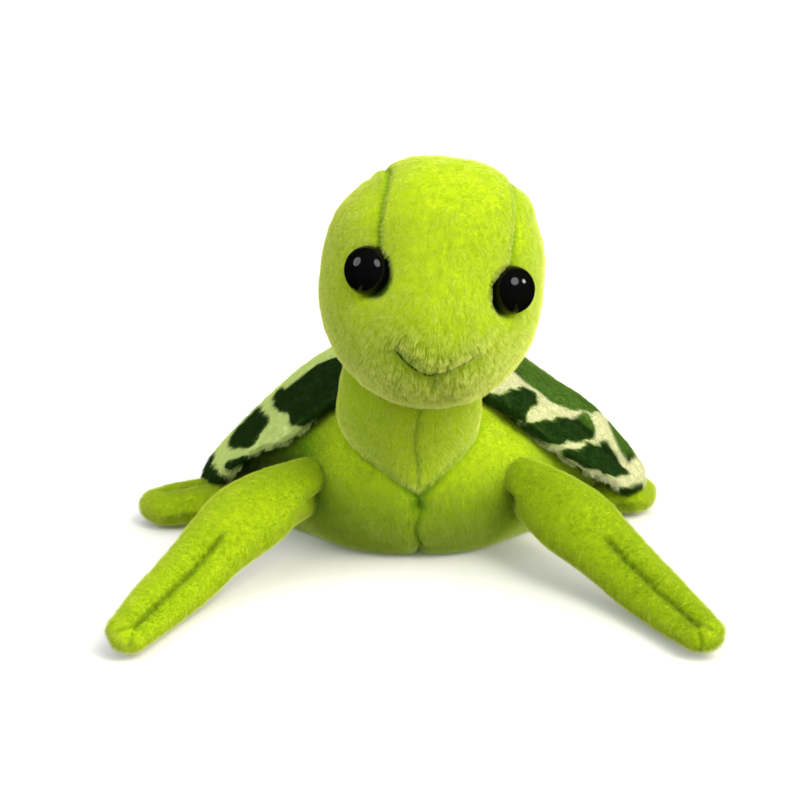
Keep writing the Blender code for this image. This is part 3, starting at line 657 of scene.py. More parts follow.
def strand_material(name, root, middle, tip):
    """Single strands of pile: painted shade deepens them at the root and a painted sheen pales them at the
    tip, no two quite alike.
    """
    made, shader = new_material(name)
    tree = made.node_tree
    hair = tree.nodes.new("ShaderNodeHairInfo")
    along = ramp_node(tree, hair.outputs["Intercept"], ((0.0, root), (0.6, middle), (1.0, tip)))
    value = tree.nodes.new("ShaderNodeHueSaturation")
    spread = math_node(tree, "ADD", times(tree, hair.outputs["Random"], 0.3), 0.88)
    tree.links.new(spread, value.inputs["Value"])
    tree.links.new(along, value.inputs["Color"])
    tree.links.new(shaded(tree, value.outputs["Color"], LIME_PAINTED_SHADE), shader.inputs["Base Color"])
    set_inputs(shader, {
        "Roughness": 0.45, "IOR": 1.6, "Specular IOR Level": 1.0, "Specular Tint": (1.0, 0.95, 0.62, 1),
    })
    return made


def make_materials():
    lime = ((0.36, 0.52, 0.003), (0.45, 0.61, 0.005), (0.52, 0.68, 0.01))
    lime_strands = ((0.36, 0.54, 0.003), (0.58, 0.72, 0.006), (0.96, 0.98, 0.26))
    dark = ((0.010, 0.035, 0.006), (0.022, 0.07, 0.012), (0.05, 0.12, 0.03))
    dark_strands = ((0.008, 0.028, 0.003), (0.02, 0.06, 0.008), (0.045, 0.11, 0.016))
    thread = ((0.012, 0.025, 0.006), (0.02, 0.045, 0.01), (0.04, 0.07, 0.02))
    return {
        "lime": plush_material("lime_pile", *lime),
        "dark": plush_material("dark_green_pile", *dark),
        "eye": plastic_material("black_eye_plastic", (0.003, 0.003, 0.003), 0.08),
        "washer": plastic_material("washer_plastic", (0.80, 0.80, 0.77), 0.45),
        "print": printed_material("printed_pile", CREAM, DARK_GREEN),
        "print_strands": printed_strands("printed_strands", CREAM, DARK_GREEN),
        "dark_strands": strand_material("dark_green_strands", *dark_strands),
        "lime_strands": strand_material("lime_strands", *lime_strands),
        "thread": plush_material("dark_thread", *thread),
    }


# Pile

def weight_group(obj, name, weights):
    """A vertex group in a few even steps of weight."""
    group = obj.vertex_groups.new(name=name)
    levels = np.round(np.clip(weights, 0, 1) * 16).astype(int)
    for level in np.unique(levels):
        group.add(np.flatnonzero(levels == level).tolist(), level / 16, "REPLACE")
    return group.name


def paint_share(obj, name, share):
    """A share at each point of a piece for its materials to read."""
    layer = obj.data.color_attributes.new(name=name, type="BYTE_COLOR", domain="CORNER")
    corners = np.empty(len(obj.data.loops), int)
    obj.data.loops.foreach_get("vertex_index", corners)
    level = np.clip(share, 0, 1)[corners]
    layer.data.foreach_set("color", np.stack([level, level, level, 0 * level + 1], axis=1).ravel())


def surface_area(obj):
    return sum(face.area for face in obj.data.polygons)


def grow_pile(
    obj, strands, seed, nap, length=PILE_LENGTH, cover=None, heights=None, clumps=None, density=PILE_DENSITY
):
    """Short strands combed along nap on a piece; cover, heights and clumps are shares at its points."""
    obj.data.materials.append(strands)
    system = obj.modifiers.new("pile", "PARTICLE_SYSTEM").particle_system
    system.seed = seed
    made = system.settings
    made.type = "HAIR"
    made.use_advanced_hair = True
    made.count = int(surface_area(obj) * density)
    made.hair_step = 3
    made.render_step = 2
    made.display_step = 2
    made.normal_factor = length * 0.17
    made.object_align_factor = Vector(nap) * length * 0.12
    made.brownian_factor = length * 0.04
    made.factor_random = length * 0.03
    made.use_even_distribution = True
    made.material = len(obj.data.materials)
    made.child_type = "INTERPOLATED"
    made.rendered_child_count = PILE_CHILDREN
    made.child_percent = 0
    made.clump_factor = 0 if clumps is None else PILE_CLUMP
    made.child_length = 1.0
    made.roughness_endpoint = length * 0.12
    made.roughness_2 = length * 0.06
    made.roughness_2_size = length
    made.root_radius = 1.0
    made.tip_radius = 0.35
    made.radius_scale = STRAND_RADIUS
    if cover is not None:
        system.vertex_group_density = weight_group(obj, "pile_cover", cover)
    if heights is not None:
        system.vertex_group_length = weight_group(obj, "pile_height", heights)
    if clumps is not None:
        system.vertex_group_clump = weight_group(obj, "pile_clumps", clumps)


# Pieces

def plush_piece(name, points, faces, finish, nodes):
    """A soft piece on the frame in place of its nodes."""
    obj = add_object(name, build_mesh(name, points, faces))
    obj.data.materials.append(finish)
    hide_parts(*nodes)
    return obj


def body_surface(ways):
    plan = np.hypot(ways[:, 0], ways[:, 1])
    full = (plan**BODY_FULLNESS + np.abs(ways[:, 2]) ** BODY_FULLNESS) ** (-1 / BODY_FULLNESS)
    height = np.where(ways[:, 2] > 0, BODY_CROWN, BODY_SAG)
    y = BODY_CENTRE_Y + full * ways[:, 1] * BODY_LENGTH / 2
    low = 1 - smooth_step(full * ways[:, 2] / 0.45)
    flank = BODY_FLANK * low * smooth_step((y - BODY_FLANK_START) / BODY_FLANK_LENGTH)
    x = full * ways[:, 0] * (BODY_WIDTH / 2 + flank)
    away = np.hypot(x - SHOULDER_PLACE[0], y - SHOULDER_PLACE[1])
    rise = SHOULDER_RISE * np.exp(-((away / SHOULDER_SPREAD) ** 4)) * smooth_step(full * ways[:, 2] * 1.6)
    return np.stack([x, y, above_floor(BODY_REST_HEIGHT + full * ways[:, 2] * height + rise)], axis=1)


def from_neck(points):
    """Distance of body points outside the neck that sinks into it."""
    slices = np.array(NECK_SLICES[::-1])
    x, y, wide, deep = (np.interp(points[:, 2], slices[:, 0], slices[:, column]) for column in (1, 2, 3, 4))
    out = np.hypot((points[:, 0] - x) / wide, (points[:, 1] - y) / deep) - 1
    low = NECK_SLICES[-1][0]
    return np.abs(out) * np.minimum(wide, deep) + np.maximum(low - points[:, 2], 0)


def make_body(mats):
    ways, quads = cube_ball(BODY_CELLS)
    points = body_surface(ways)
    normals = outward_normals(points, quads)
    x, y, z = points.T
    front = smooth_step((BODY_CENTRE_Y - y) / (BODY_LENGTH / 4))
    middle = np.abs(x - BODY_SEAM_X - BODY_SEAM_WANDER * np.sin(z * BODY_SEAM_WAVES))
    drawn = front * seam(middle)
    from_pucker = np.hypot(x - BODY_SEAM_X, (z - BODY_PUCKER_Z) * 1.4)
    pucker = bell(from_pucker, BODY_PUCKER_SPREAD) * front * BODY_PUCKER_DEPTH
    crease = bell(from_neck(points), NECK_CREASE_WIDTH)
    moved = tufts(points, (0, -0.25, -0.95), LIME_TUFTS) - drawn - pucker - NECK_CREASE_DEPTH * crease
    points = points + normals * (moved - PILE_STAND)[:, None]
    points[:, 2] = np.maximum(points[:, 2], 0.00002)
    body = plush_piece(
        "body_plush", points, quads.tolist(), mats["lime"], ("body_cover", "body_stuffing", "pellet_bag")
    )
    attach(body, "trunk")
    # Painted shade: the shell's shadow on the left flank, darker low down towards the floor, and darker
    # along the seam, in the neck's crease and at the pucker
    shell_shadow = 0.75 * smooth_step(-(x + 0.015) / 0.012) * smooth_step((z - 0.006) / 0.005)
    low = 0.25 * smooth_step((0.022 - z) / 0.012)
    stitched = 0.16 * bell(middle, 0.0006) * front + 0.45 * crease + 350 * pucker
    paint_share(body, "shade", stitched + shell_shadow + low)
    clear = 1 - 0.75 * bell(middle, 0.0009) * front - 0.6 * crease
    grow_pile(body, mats["lime_strands"], 11, (0, -0.2, -0.95), heights=clear)
    return body


def make_neck(mats):
    slices = curve_through(NECK_SLICES, NECK_ROWS)
    turns = np.linspace(0, 2 * math.pi, NECK_COLUMNS, endpoint=False)
    z, x, y, wide, deep = (column[:, None] for column in slices.T)
    points = np.stack([
        x + wide * np.cos(turns), y + deep * np.sin(turns), z + 0 * turns,
    ], axis=-1).reshape(-1, 3)
    quads = tube_faces(NECK_ROWS, NECK_COLUMNS)[:, ::-1]
    normals = outward_normals(points, quads)
    front = smooth_step(-(points[:, 1] + 0.012) / 0.004)
    shift = NECK_SEAM_X + NECK_SEAM_WANDER * np.sin(points[:, 2] * NECK_SEAM_WAVES)
    middle = np.abs(points[:, 0] - shift)
    drawn = front * seam(middle, 0.8)
    moved = tufts(points, (0, -0.1, -0.99), LIME_TUFTS) - drawn - PILE_STAND
    points = points + normals * moved[:, None]
    faces = quads.tolist() + [ring(0, NECK_COLUMNS), ring(NECK_ROWS - 1, NECK_COLUMNS)[::-1]]
    neck = plush_piece("neck_plush", points, faces, mats["lime"], ("neck_cover", "neck_stuffing"))
    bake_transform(neck)
    # Painted shade along the neck's front seam
    paint_share(neck, "shade", 0.16 * bell(middle, 0.0006) * front)
    grow_pile(neck, mats["lime_strands"], 12, (0, -0.1, -0.95))
    return neck


# Shell

def rim_bell(turns, middle, spread):
    """A bell round the shell's rim, with its middle and spread in degrees."""
    return bell(turn_between(turns, math.radians(middle)), math.radians(spread))


def shell_middle(turns, share):
    """Points halfway through the shell at angles and shares of its reach."""
    across, along = np.cos(turns), np.sin(turns)
    reach = np.where(along < 0, SHELL_FRONT_REACH, SHELL_REAR_REACH)
    rise = np.where(along < 0, SHELL_FRONT_RISE, SHELL_REAR_RISE)
    rim_z = SHELL_SIDE_Z + rise * np.abs(along) ** SHELL_RISE_POWER
    drop = sum(depth * rim_bell(turns, middle, spread) for middle, spread, depth in RIM_FOLDS)
    x = across * SHELL_WIDTH / 2 * share
    y = along * reach * share
    dome = rim_z + (SHELL_CROWN_Z - rim_z) * (1 - share**SHELL_DOME_POWER)
    z = dome - drop * share**RIM_FOLD_POWER - SHELL_TILT * x
    for (right, back), (wide, long), swell in SHELL_SWELLS:
        z = z + swell * bell(np.hypot((x - right) / wide, (y - back) / long), 1)
    return np.stack([SHELL_CENTRE_X + x, SHELL_CENTRE_Y + y, z], axis=-1)


def shell_layer(turns, share, height):
    """Points of the shell at angles and shares of its reach, with height from -1 below to 1 on top."""
    step = 0.002
    middle = shell_middle(turns, share)
    outward = shell_middle(turns, share + step) - middle
    off_crown = np.maximum(share, step)
    around = shell_middle(turns + step, off_crown) - shell_middle(turns - step, off_crown)
    normal = np.cross(outward, around)
    normal /= np.maximum(np.linalg.norm(normal, axis=-1), 1e-12)[..., None]
    edge = np.clip(share, 0, 1) ** 6
    fuller = sum((more * rim_bell(turns, place, spread) * edge for place, spread, more in RIM_PUFFS), 1)
    thick = SHELL_PADDING / 2 * height * fuller
    return middle + normal * thick[..., None]


def shell_turns():
    return np.linspace(0, 2 * math.pi, SHELL_COLUMNS, endpoint=False)


def shell_points(first, last, rows):
    """Rings between two section angles: 0 is the crown, a quarter turn the rim, a half the underside."""
    section, turn = np.meshgrid(np.linspace(first, last, rows), shell_turns(), indexing="ij")
    power = 2 / SHELL_EDGE_POWER
    share = np.clip(np.sin(section), 0, 1) ** (power * 1.35)
    height = np.sign(np.cos(section)) * np.abs(np.cos(section)) ** power
    wave = (1 - np.abs(np.sin(SCALLOPS * turn / 2 + 0.4))) ** 2
    scallop = 1 - SCALLOP_DEPTH / SCALLOP_REACH * wave * share**6
    return shell_layer(turn, share * scallop, height).reshape(-1, 3)


def shell_plan(grid, rim_row):
    """The points of the shell's rings laid flat by their distance along the fabric from the crown."""
    steps = np.linalg.norm(np.diff(grid, axis=0), axis=2)
    run = np.vstack([0 * steps[:1], np.cumsum(steps, axis=0)])
    crown = grid[:1, :, :2] - grid[:1, :, :2].mean(axis=1, keepdims=True)
    hole = np.hypot(*crown.transpose(2, 0, 1))
    share = (run + hole) / (run[rim_row] + hole)
    turns = shell_turns()
    reach = np.where(np.sin(turns) < 0, SHELL_FRONT_REACH, SHELL_REAR_REACH)
    across = share * np.cos(turns) * SHELL_WIDTH / 2
    along = share * np.sin(turns) * reach
    return np.stack([across, along], axis=-1).reshape(-1, 2)


def print_cells(plan):
    """Depth inside the cells of the print that cover the shell's back."""
    cells = []
    for row in PRINT_CELL_ROWS:
        for column in PRINT_CELL_COLUMNS:
            x = column + 0.5 * (row % 2) + 0.20 * math.sin(3.1 * column + 1.7 * row)
            y = row + 0.24 * math.cos(2.3 * column + 2.9 * row)
            cells.append((x * PRINT_CELL[0], y * PRINT_CELL[1]))
    away = np.linalg.norm(plan[:, None] - np.array(cells), axis=2)
    nearest = np.partition(away, 1, axis=1)
    return (nearest[:, 1] - nearest[:, 0]) / 2 - PRINT_BAND


def print_depth(plan):
    """Depth inside the dark patches at places of the shell laid flat, less than zero in the cream."""
    wander = np.array([noise.noise((x / PRINT_WANDER_SIZE, y / PRINT_WANDER_SIZE, 0)) for x, y in plan])
    zone = smooth_step((PRINT_ZONE_BACK - plan[:, 1]) / 0.005) * smooth_step(
        (np.abs(plan[:, 0]) - PRINT_ZONE_SIDE) / 0.003
    )
    depth = print_cells(plan) - 2 * PRINT_DEPTH * zone
    for corners in PRINT_PATCHES:
        depth = np.maximum(depth, inside_outline(plan, corners))
    return depth + PRINT_WANDER * wander


def painted_light_share(plan, depth):
    """Share of the print's painted light: on the dark patches behind the crease, and on the cream towards
    the lit right side.
    """
    behind = inside_outline(plan, (*SHELL_CREASE, (0.0500, 0.0060), (0.0350, 0.0200), (0.0140, 0.0180)))
    dark = smooth_step(0.5 + behind / 0.0012)
    cream = smooth_step((plan[:, 0] + 0.010) / 0.02)
    return np.where(depth > 0, dark, cream)


def make_shell(mats):
    points = shell_points(SHELL_CROWN_ANGLE, SHELL_TUCK_ANGLE, SHELL_ROWS)
    rim_share = (math.pi / 2 - SHELL_CROWN_ANGLE) / (SHELL_TUCK_ANGLE - SHELL_CROWN_ANGLE)
    rim_row = round(rim_share * (SHELL_ROWS - 1))
    plan = shell_plan(points.reshape(SHELL_ROWS, SHELL_COLUMNS, 3), rim_row)
    depth = print_depth(plan)
    crease = bell(line_distance(plan, SHELL_CREASE), SHELL_CREASE_WIDTH)
    quads = tube_faces(SHELL_ROWS, SHELL_COLUMNS)
    normals = outward_normals(points, quads)
    if normals[0, 2] < 0:
        quads = quads[:, ::-1]
        normals = -normals
    moved = tufts(points, (0, 0.6, -0.4), SHELL_TUFTS) - PILE_STAND - SHELL_CREASE_DEPTH * crease
    points = points + normals * moved[:, None]
    faces = quads.tolist() + [ring(0, SHELL_COLUMNS)]
    top = plush_piece("shell_plush", points, faces, mats["print"], ("shell_cover", "shell_padding"))
    paint_share(top, "print", 0.5 + depth / (2 * PRINT_DEPTH))
    # Painted light: the print's paler copy behind the crease and on the lit right side
    paint_share(top, "brushed", painted_light_share(plan, depth))
    # Painted shade in the crease, on the dark patches only
    paint_share(top, "shade", 0.9 * crease * smooth_step(0.5 + depth / 0.0016))
    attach(top, "trunk")
    grow_pile(top, mats["print_strands"], 15, (0, 0.2, -0.9))


def make_shell_underside(mats):
    rows = SHELL_ROWS // 2
    points = shell_points(SHELL_TUCK_ANGLE - SHELL_TUCK_OVERLAP, math.pi - SHELL_CROWN_ANGLE, rows)
    faces = tube_faces(rows, SHELL_COLUMNS).tolist() + [ring(rows - 1, SHELL_COLUMNS)]
    under = plush_piece("shell_underside_plush", points, faces, mats["dark"], ("shell_underside",))
    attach(under, "trunk")
    grow_pile(under, mats["dark_strands"], 16, (0, 0.2, -0.9), density=PILE_DENSITY / 2)


# Head

def head_matrix():
    look = Matrix.Rotation(HEAD_YAW, 4, "Z") @ Matrix.Rotation(HEAD_TILT, 4, "Y")
    return Matrix.Translation(HEAD_CENTRE) @ look @ Matrix.Rotation(-HEAD_PITCH, 4, "X")


def to_world(points, matrix):
    matrix = np.array(matrix)
    return points @ matrix[:3, :3].T + matrix[:3, 3]


def from_muzzle(points):
    """Distance of the head's points from the middle of its muzzle, as a share of its spread."""
    return np.hypot(points[:, 0], points[:, 2] + MUZZLE_DROP) / MUZZLE_SPREAD


def head_surface(ways):
    power = HEAD_FULLNESS + HEAD_BROW * smooth_step(1.4 * ways[:, 2])
    total = (np.abs(ways) ** power[:, None]).sum(axis=1)
    full = total ** (-1 / power)
    points = ways * full[:, None] * np.array((HEAD_WIDTH, HEAD_DEPTH, HEAD_HEIGHT)) / 2
    points[:, 0] += HEAD_TOP_SHIFT * smooth_step((points[:, 2] - 0.012) / 0.008)
    points[:, 0] *= 1 - HEAD_PINCH_SHARE * bell(points[:, 2] - HEAD_PINCH_Z, HEAD_PINCH_SPREAD)
    points[:, 1] -= np.where(points[:, 1] < 0, MUZZLE_REACH * np.exp(-(from_muzzle(points) ** 2)), 0)
    return points


def gusset_seam(points, side):
    """Distance of the head's points from the seam on one side of its gusset."""
    x, _, z = points.T
    splay = GUSSET_SPLAY[side] * np.clip((z - GUSSET_SPLAY_START) / GUSSET_SPLAY_RISE, 0, 1) ** 2
    return np.abs(x - GUSSET_SHIFT - SIDES[side] * (GUSSET_HALF[side] - splay))


def above_eyes(points):
    """Share of the head that the gusset's seams cross: its top and back, down to the eyes in front."""
    _, y, z = points.T
    return np.maximum(smooth_step((y + 0.006) / 0.006), smooth_step((z - GUSSET_END) / 0.002))


def mouth_line():
    return curve_through(MOUTH_POINTS, 41)


def mouth_strength(x):
    """How strongly the mouth draws in, fading towards its right end."""
    return 1 - 0.55 * smooth_step(x / 0.004)


def muzzle_share(points):
    return np.where(points[:, 1] < 0, np.exp(-(from_muzzle(points) ** 4)), 0)


def face_share(points):
    """Share of the head's front half, at its points."""
    return smooth_step(-points[:, 1] / 0.006)


def stitch_wave(points):
    """The gusset's stitches, from -1 to 1 along its seams."""
    _, y, z = points.T
    return np.sin(2 * math.pi * (z + 0.4 * y) / GUSSET_STITCH)


def eye_place(side):
    """Middle of an eye on the face, across and up."""
    return np.array((EYE_SHIFT + SIDES[side] * EYE_APART / 2, EYE_HEIGHT[side]))


def from_eye(flat, side, narrowing=1):
    """Distance of places on the face from the middle of an eye."""
    return np.linalg.norm((flat - eye_place(side)) * (narrowing, 1), axis=1)


def head_pile(points):
    """Share of the pile's full height at points of the head: cut short round the eyes, mouth and seams."""
    face = face_share(points)
    flat = points[:, (0, 2)]
    share = 0.60 + 0.30 * muzzle_share(points)
    stitched = 0.52 * (0.75 + 0.25 * stitch_wave(points))
    for side in SIDES:
        share -= stitched * bell(gusset_seam(points, side), 0.0006) * above_eyes(points)
        share -= face * smooth_step((0.0048 - from_eye(flat, side, SOCKET_NARROWING)) / 0.0012)
    share -= 0.62 * mouth_strength(points[:, 0]) * face * bell(line_distance(flat, mouth_line()), 0.0006)
    return share


def head_shade(points):
    """Painted shade on the head's pile: in the gusset's stitches, round the eyes, along the mouth and at the
    chin seam.
    """
    face = face_share(points)
    flat = points[:, (0, 2)]
    shade = 0.60 * face * mouth_strength(points[:, 0]) * bell(line_distance(flat, mouth_line()), 0.0008)
    shade += 0.08 * face * bell(line_distance(flat, CHIN_SEAM), 0.0008)
    stitched = 0.60 * (0.70 + 0.30 * stitch_wave(points))
    for side in SIDES:
        shade += stitched * bell(gusset_seam(points, side), 0.0007) * above_eyes(points)
        shade += 0.92 * face * smooth_step((0.0053 - from_eye(flat, side, SOCKET_NARROWING)) / 0.0010)
    return shade


def head_seams(points):
    """How far the head's fabric draws in: gusset seams, mouth, chin seam and eye sockets."""
    x, _, z = points.T
    face = face_share(points)
    flat = points[:, (0, 2)]
    drawn = np.zeros(len(points))
    over_chin = smooth_step((z + 0.016) / 0.004)
    for side in SIDES:
        drawn += seam(gusset_seam(points, side), 1.45) * above_eyes(points) * over_chin
        drawn += SOCKET_DEPTH * bell(from_eye(flat, side), SOCKET_SPREAD) * face
    half = np.where(x > GUSSET_SHIFT, GUSSET_HALF["left"], GUSSET_HALF["right"])
    inside = smooth_step((half + 0.0006 - np.abs(x - GUSSET_SHIFT)) / 0.0016)
    drawn -= GUSSET_RAISE * inside * smooth_step((z - 0.008) / 0.010)
    mouth = line_distance(flat, mouth_line())
    groove = MOUTH_DEPTH * bell(mouth, MOUTH_GROOVE_WIDTH)
    drawn += face * (groove + MOUTH_DEPTH * bell(mouth, MOUTH_DIMPLE_WIDTH))
    drawn += face * seam(line_distance(flat, CHIN_SEAM))
    return drawn


def press_socket(points, seat):
    """Head points pushed in flat under an eye, with a short slope up to the pile round it."""
    local = to_world(points, seat.inverted())
    away = np.hypot(local[:, 0], local[:, 1])
    limit = SOCKET_SLOPE * np.maximum(away - EYE_DIAMETER / 2 - SOCKET_MARGIN, 0) - SOCKET_MARGIN
    near = (away < EYE_DIAMETER) & (np.abs(local[:, 2]) < EYE_DIAMETER)
    local[:, 2] = np.where(near, np.minimum(local[:, 2], limit), local[:, 2])
    return to_world(local, seat)


def make_head(mats):
    """Makes the head; gives the seats of its eyes and the tree of its surface."""
    ways, quads = cube_ball(HEAD_CELLS)
    points = head_surface(ways)
    normals = outward_normals(points, quads)
    heights = head_pile(points)
    clumps = 0.12 + 0.80 * muzzle_share(points)
    shade = head_shade(points)
    moved = tufts(points, (0, 0.15, -0.98), HEAD_TUFTS) - head_seams(points) - PILE_STAND
    points = to_world(points + normals * moved[:, None], head_matrix())
    tree = surface_tree(points, quads)
    seats = {side: eye_seat(side, tree) for side in SIDES}
    for seat in seats.values():
        points = press_socket(points, seat)
    nodes = ("head_cover", "head_stuffing")
    head = plush_piece("head_plush", points, quads.tolist(), mats["lime"], nodes)
    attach(head, "head")
    paint_share(head, "shade", shade)
    grow_pile(
        head, mats["lime_strands"], 13, (0, 0.1, -0.95),
        length=HEAD_PILE, cover=heights * 4, heights=heights, clumps=clumps,
    )
    return seats, tree


def surface_tree(points, quads):
    return BVHTree.FromPolygons(points.tolist(), quads.tolist())


def eye_seat(side, tree):
    """Place and way of an eye on the head, with its dome towards +Z."""
    look = (Matrix.Rotation(SIDES[side] * EYE_SPLAY[side], 4, "Z") @ Vector((0, -1, 0))).normalized()
    across, up = eye_place(side)
    start = Vector((across, -HEAD_DEPTH, up))
    turned = head_matrix().to_3x3()
    place = tree.ray_cast(head_matrix() @ start, turned @ Vector((0, 1, 0)))[0]
    way = turned @ look
    return Matrix.Translation(place - way * EYE_SINK) @ way.to_track_quat("Z", "Y").to_matrix().to_4x4()


def make_eye(side, seat, mats):
    quarter = np.linspace(0, math.pi / 2, 24)
    outline = np.stack([EYE_DIAMETER / 2 * np.sin(quarter), EYE_RIM + EYE_DOME * np.cos(quarter)], axis=1)
    pole = EYE_DIAMETER / 400
    outline[0, 0] = pole
    back = ((EYE_DIAMETER / 2, 0), (EYE_DIAMETER / 2 * 0.94, -0.0004), (pole, -0.0005))
    outline = np.vstack([outline, back])
    turns = np.linspace(0, 2 * math.pi, EYE_STEPS, endpoint=False)
    points = np.stack([
        outline[:, :1] * np.cos(turns), outline[:, :1] * np.sin(turns), outline[:, 1:] + 0 * turns,
    ], axis=-1).reshape(-1, 3)
    rows = len(outline)
    faces = tube_faces(rows, EYE_STEPS)[:, ::-1].tolist()
    faces += [ring(0, EYE_STEPS), ring(rows - 1, EYE_STEPS)[::-1]]
    name = f"eye_dome_{side}"
    obj = add_object(name, build_mesh(name, to_world(points, seat), faces))
    obj.data.materials.append(mats["eye"])
    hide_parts(f"eye_{side}")
    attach(obj, "head")


def make_mouth(tree, mats):
    matrix = head_matrix()
    way = matrix.to_3x3() @ Vector((0, 1, 0))
    curve = bpy.data.curves.new("mouth_stitching", "CURVE")
    curve.dimensions = "3D"
    curve.bevel_depth = MOUTH_THREAD
    curve.bevel_resolution = 4
    curve.use_fill_caps = True
    line = mouth_line()
    spline = curve.splines.new("POLY")
    spline.points.add(len(line) - 1)
    for point, (x, z) in zip(spline.points, line):
        place = tree.ray_cast(matrix @ Vector((x, -HEAD_DEPTH, z)), way)[0]
        point.co = (*(place - way * MOUTH_THREAD * 0.6), 1)
    obj = add_object("mouth_stitching", curve)
    curve.materials.append(mats["thread"])
    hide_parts("mouth_thread")
    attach(obj, "head")


# Flippers

def level_heading(points):
    """The way from the first point to the second, without its rise."""
    along = points[1] - points[0]
    along = np.array((along[0], along[1], 0))
    return along / np.linalg.norm(along)


def front_flipper(side):
    sign = SIDES[side]
    root = np.array((sign * FRONT_ROOT.x, FRONT_ROOT.y, FRONT_ROOT.z))
    path = np.array([
        root + np.array((sign * FRONT_SPREAD * out, -FRONT_REACH * ahead, -FRONT_DROP * down))
        for ahead, out, down in FRONT_PATH_SHARES[side]
    ])
    return {
        "name": "front_flipper", "side": side, "path": path, "sections": FRONT_SECTION_SHARES,
        "width": FRONT_WIDTH, "thickness": FRONT_THICKNESS, "roll": sign * FRONT_ROLL[side],
        "channel": FRONT_CHANNEL_SHARES, "body": f"front_{side}", "tip": FRONT_TIP_SHARE, "lean": FRONT_LEAN,
        "fold": (FRONT_FOLD_ANGLE, FRONT_FOLD_DEPTH, FRONT_FOLD_START), "cut": FRONT_CUT, "fork": 1,
    }


def rear_flipper(side):
    sign = SIDES[side]
    root = np.array((sign * REAR_ROOT.x, REAR_ROOT.y, REAR_ROOT.z))
    reach = np.array((sign * REAR_SPREAD[side], -REAR_FORWARD[side], -REAR_DROP))
    return {
        "name": "rear_flipper", "side": side,
        "path": np.array([root + reach * share for share in REAR_PATH_SHARES]),
        "sections": REAR_SECTION_SHARES, "width": REAR_WIDTH, "thickness": REAR_THICKNESS, "roll": 0,
        "channel": REAR_CHANNEL_SHARES, "body": f"rear_{side}", "tip": REAR_TIP_SHARE, "lean": 0,
        "fold": (REAR_FOLD_ANGLE, REAR_FOLD_DEPTH, REAR_FOLD_START), "cut": 0, "fork": 0,
    }


def unit(values):
    return values / np.maximum(np.linalg.norm(values, axis=-1, keepdims=True), 1e-12)


def flipper_rows(flipper):
    """Centre, width, thickness and roll along the flipper, from its rounded root to its rounded tip."""
    path, sections = flipper["path"], np.array(flipper["sections"])
    flat = level_heading(path)
    rows = curve_through(np.hstack([path, sections]), FLIPPER_ROWS)
    centre, width, thickness, roll = rows[:, :3], rows[:, 3], rows[:, 4], rows[:, 5]
    quarter = np.linspace(math.pi / 2, 0, 16)[:-1]
    back = flipper["thickness"] / 2
    root_centre = centre[0] - np.outer(np.sin(quarter) * back, flat)
    root_width = width[0] * (0.55 + 0.45 * np.cos(quarter))
    root_thick = thickness[0] * np.maximum(np.cos(quarter), 0.02)
    tip_way = unit(centre[-1] - centre[-2])
    closing = np.linspace(0, math.pi / 2, 22)[1:]
    tip_centre = centre[-1] + np.outer(np.sin(closing) * flipper["tip"] * flipper["width"], tip_way)
    tip_width = width[-1] * np.maximum(np.cos(closing), 0.004) ** 0.8
    tip_thick = thickness[-1] * np.maximum(np.cos(closing), 0.004) ** 0.8
    return (
        np.vstack([root_centre, centre, tip_centre]),
        np.concatenate([root_width, width, tip_width]) * flipper["width"],
        np.concatenate([root_thick, thickness, tip_thick]) * flipper["thickness"],
        np.concatenate([0 * root_width + roll[0], roll, 0 * tip_width + roll[-1]]) * flipper["roll"],
    )


def flipper_skin(centre, heading, width, thickness, roll, turns):
    """Points round the flipper's rows."""
    level = unit(np.cross(np.array((0, 0, 1.0)), heading))
    up = np.cross(heading, level)
    across = level * np.cos(roll)[:, None] + up * np.sin(roll)[:, None]
    upward = up * np.cos(roll)[:, None] - level * np.sin(roll)[:, None]
    return (
        centre[:, None] + across[:, None] * (np.cos(turns)[:, None] * width[:, None, None] / 2)
        + upward[:, None] * (np.sin(turns)[:, None] * thickness[:, None, None] / 2)
    ).reshape(-1, 3)


def flipper_seams(flipper, share, turn, sideways):
    """How far the flipper's fabric draws in, and the shade painted on it: at its line, the line's fork and
    its fold, and darker on its underside.
    """
    start, end = flipper["channel"]
    top = np.sin(turn) > 0
    inside = smooth_step((share - start) / 0.05) * smooth_step((end - share) / 0.05)
    groove = CHANNEL_DEPTH * bell(sideways, CHANNEL_WIDTH)
    dimple = CHANNEL_DIMPLE_DEPTH * bell(sideways, CHANNEL_DIMPLE_WIDTH)
    drawn = inside * top * (groove + dimple)
    shade = inside * top * (0.16 * bell(sideways, 0.0007) + 0.14 * bell(sideways, 0.0030))
    from_fork = np.abs(np.abs(sideways) - FORK_SPLAY * np.maximum(share - end + 0.03, 0))
    forked = top * smooth_step((share - end + 0.04) / 0.02) * smooth_step((0.985 - share) / 0.02)
    forked = flipper["fork"] * (forked * bell(from_fork, FORK_WIDTH))
    angle, depth, begin = flipper["fold"]
    side_turn = turn if flipper["side"] == "right" else math.pi - turn
    from_fold = np.abs(turn_between(side_turn, angle))
    folded = smooth_step((share - begin) / 0.15) * smooth_step((0.97 - share) / 0.06)
    folded = folded * bell(from_fold, FOLD_SPREAD)
    drawn = drawn + FORK_DEPTH * forked + depth * folded
    shade = shade + (0.22 * forked + 0.16 * folded + 0.06 * smooth_step(-np.sin(turn) / 0.5))
    return drawn, shade


def flipper_root_shift(flipper, share, turn):
    """How far the root's end lies forward: it leans back on top and is cut away on its inner side."""
    high = np.maximum(np.sin(turn), 0)
    lean = flipper["lean"] * high**2 * smooth_step(1 - share / 0.22)
    inner = np.maximum(-SIDES[flipper["side"]] * np.cos(turn), 0)
    return flipper["cut"] * inner * (1 - high) * smooth_step(1 - share / 0.30) - lean


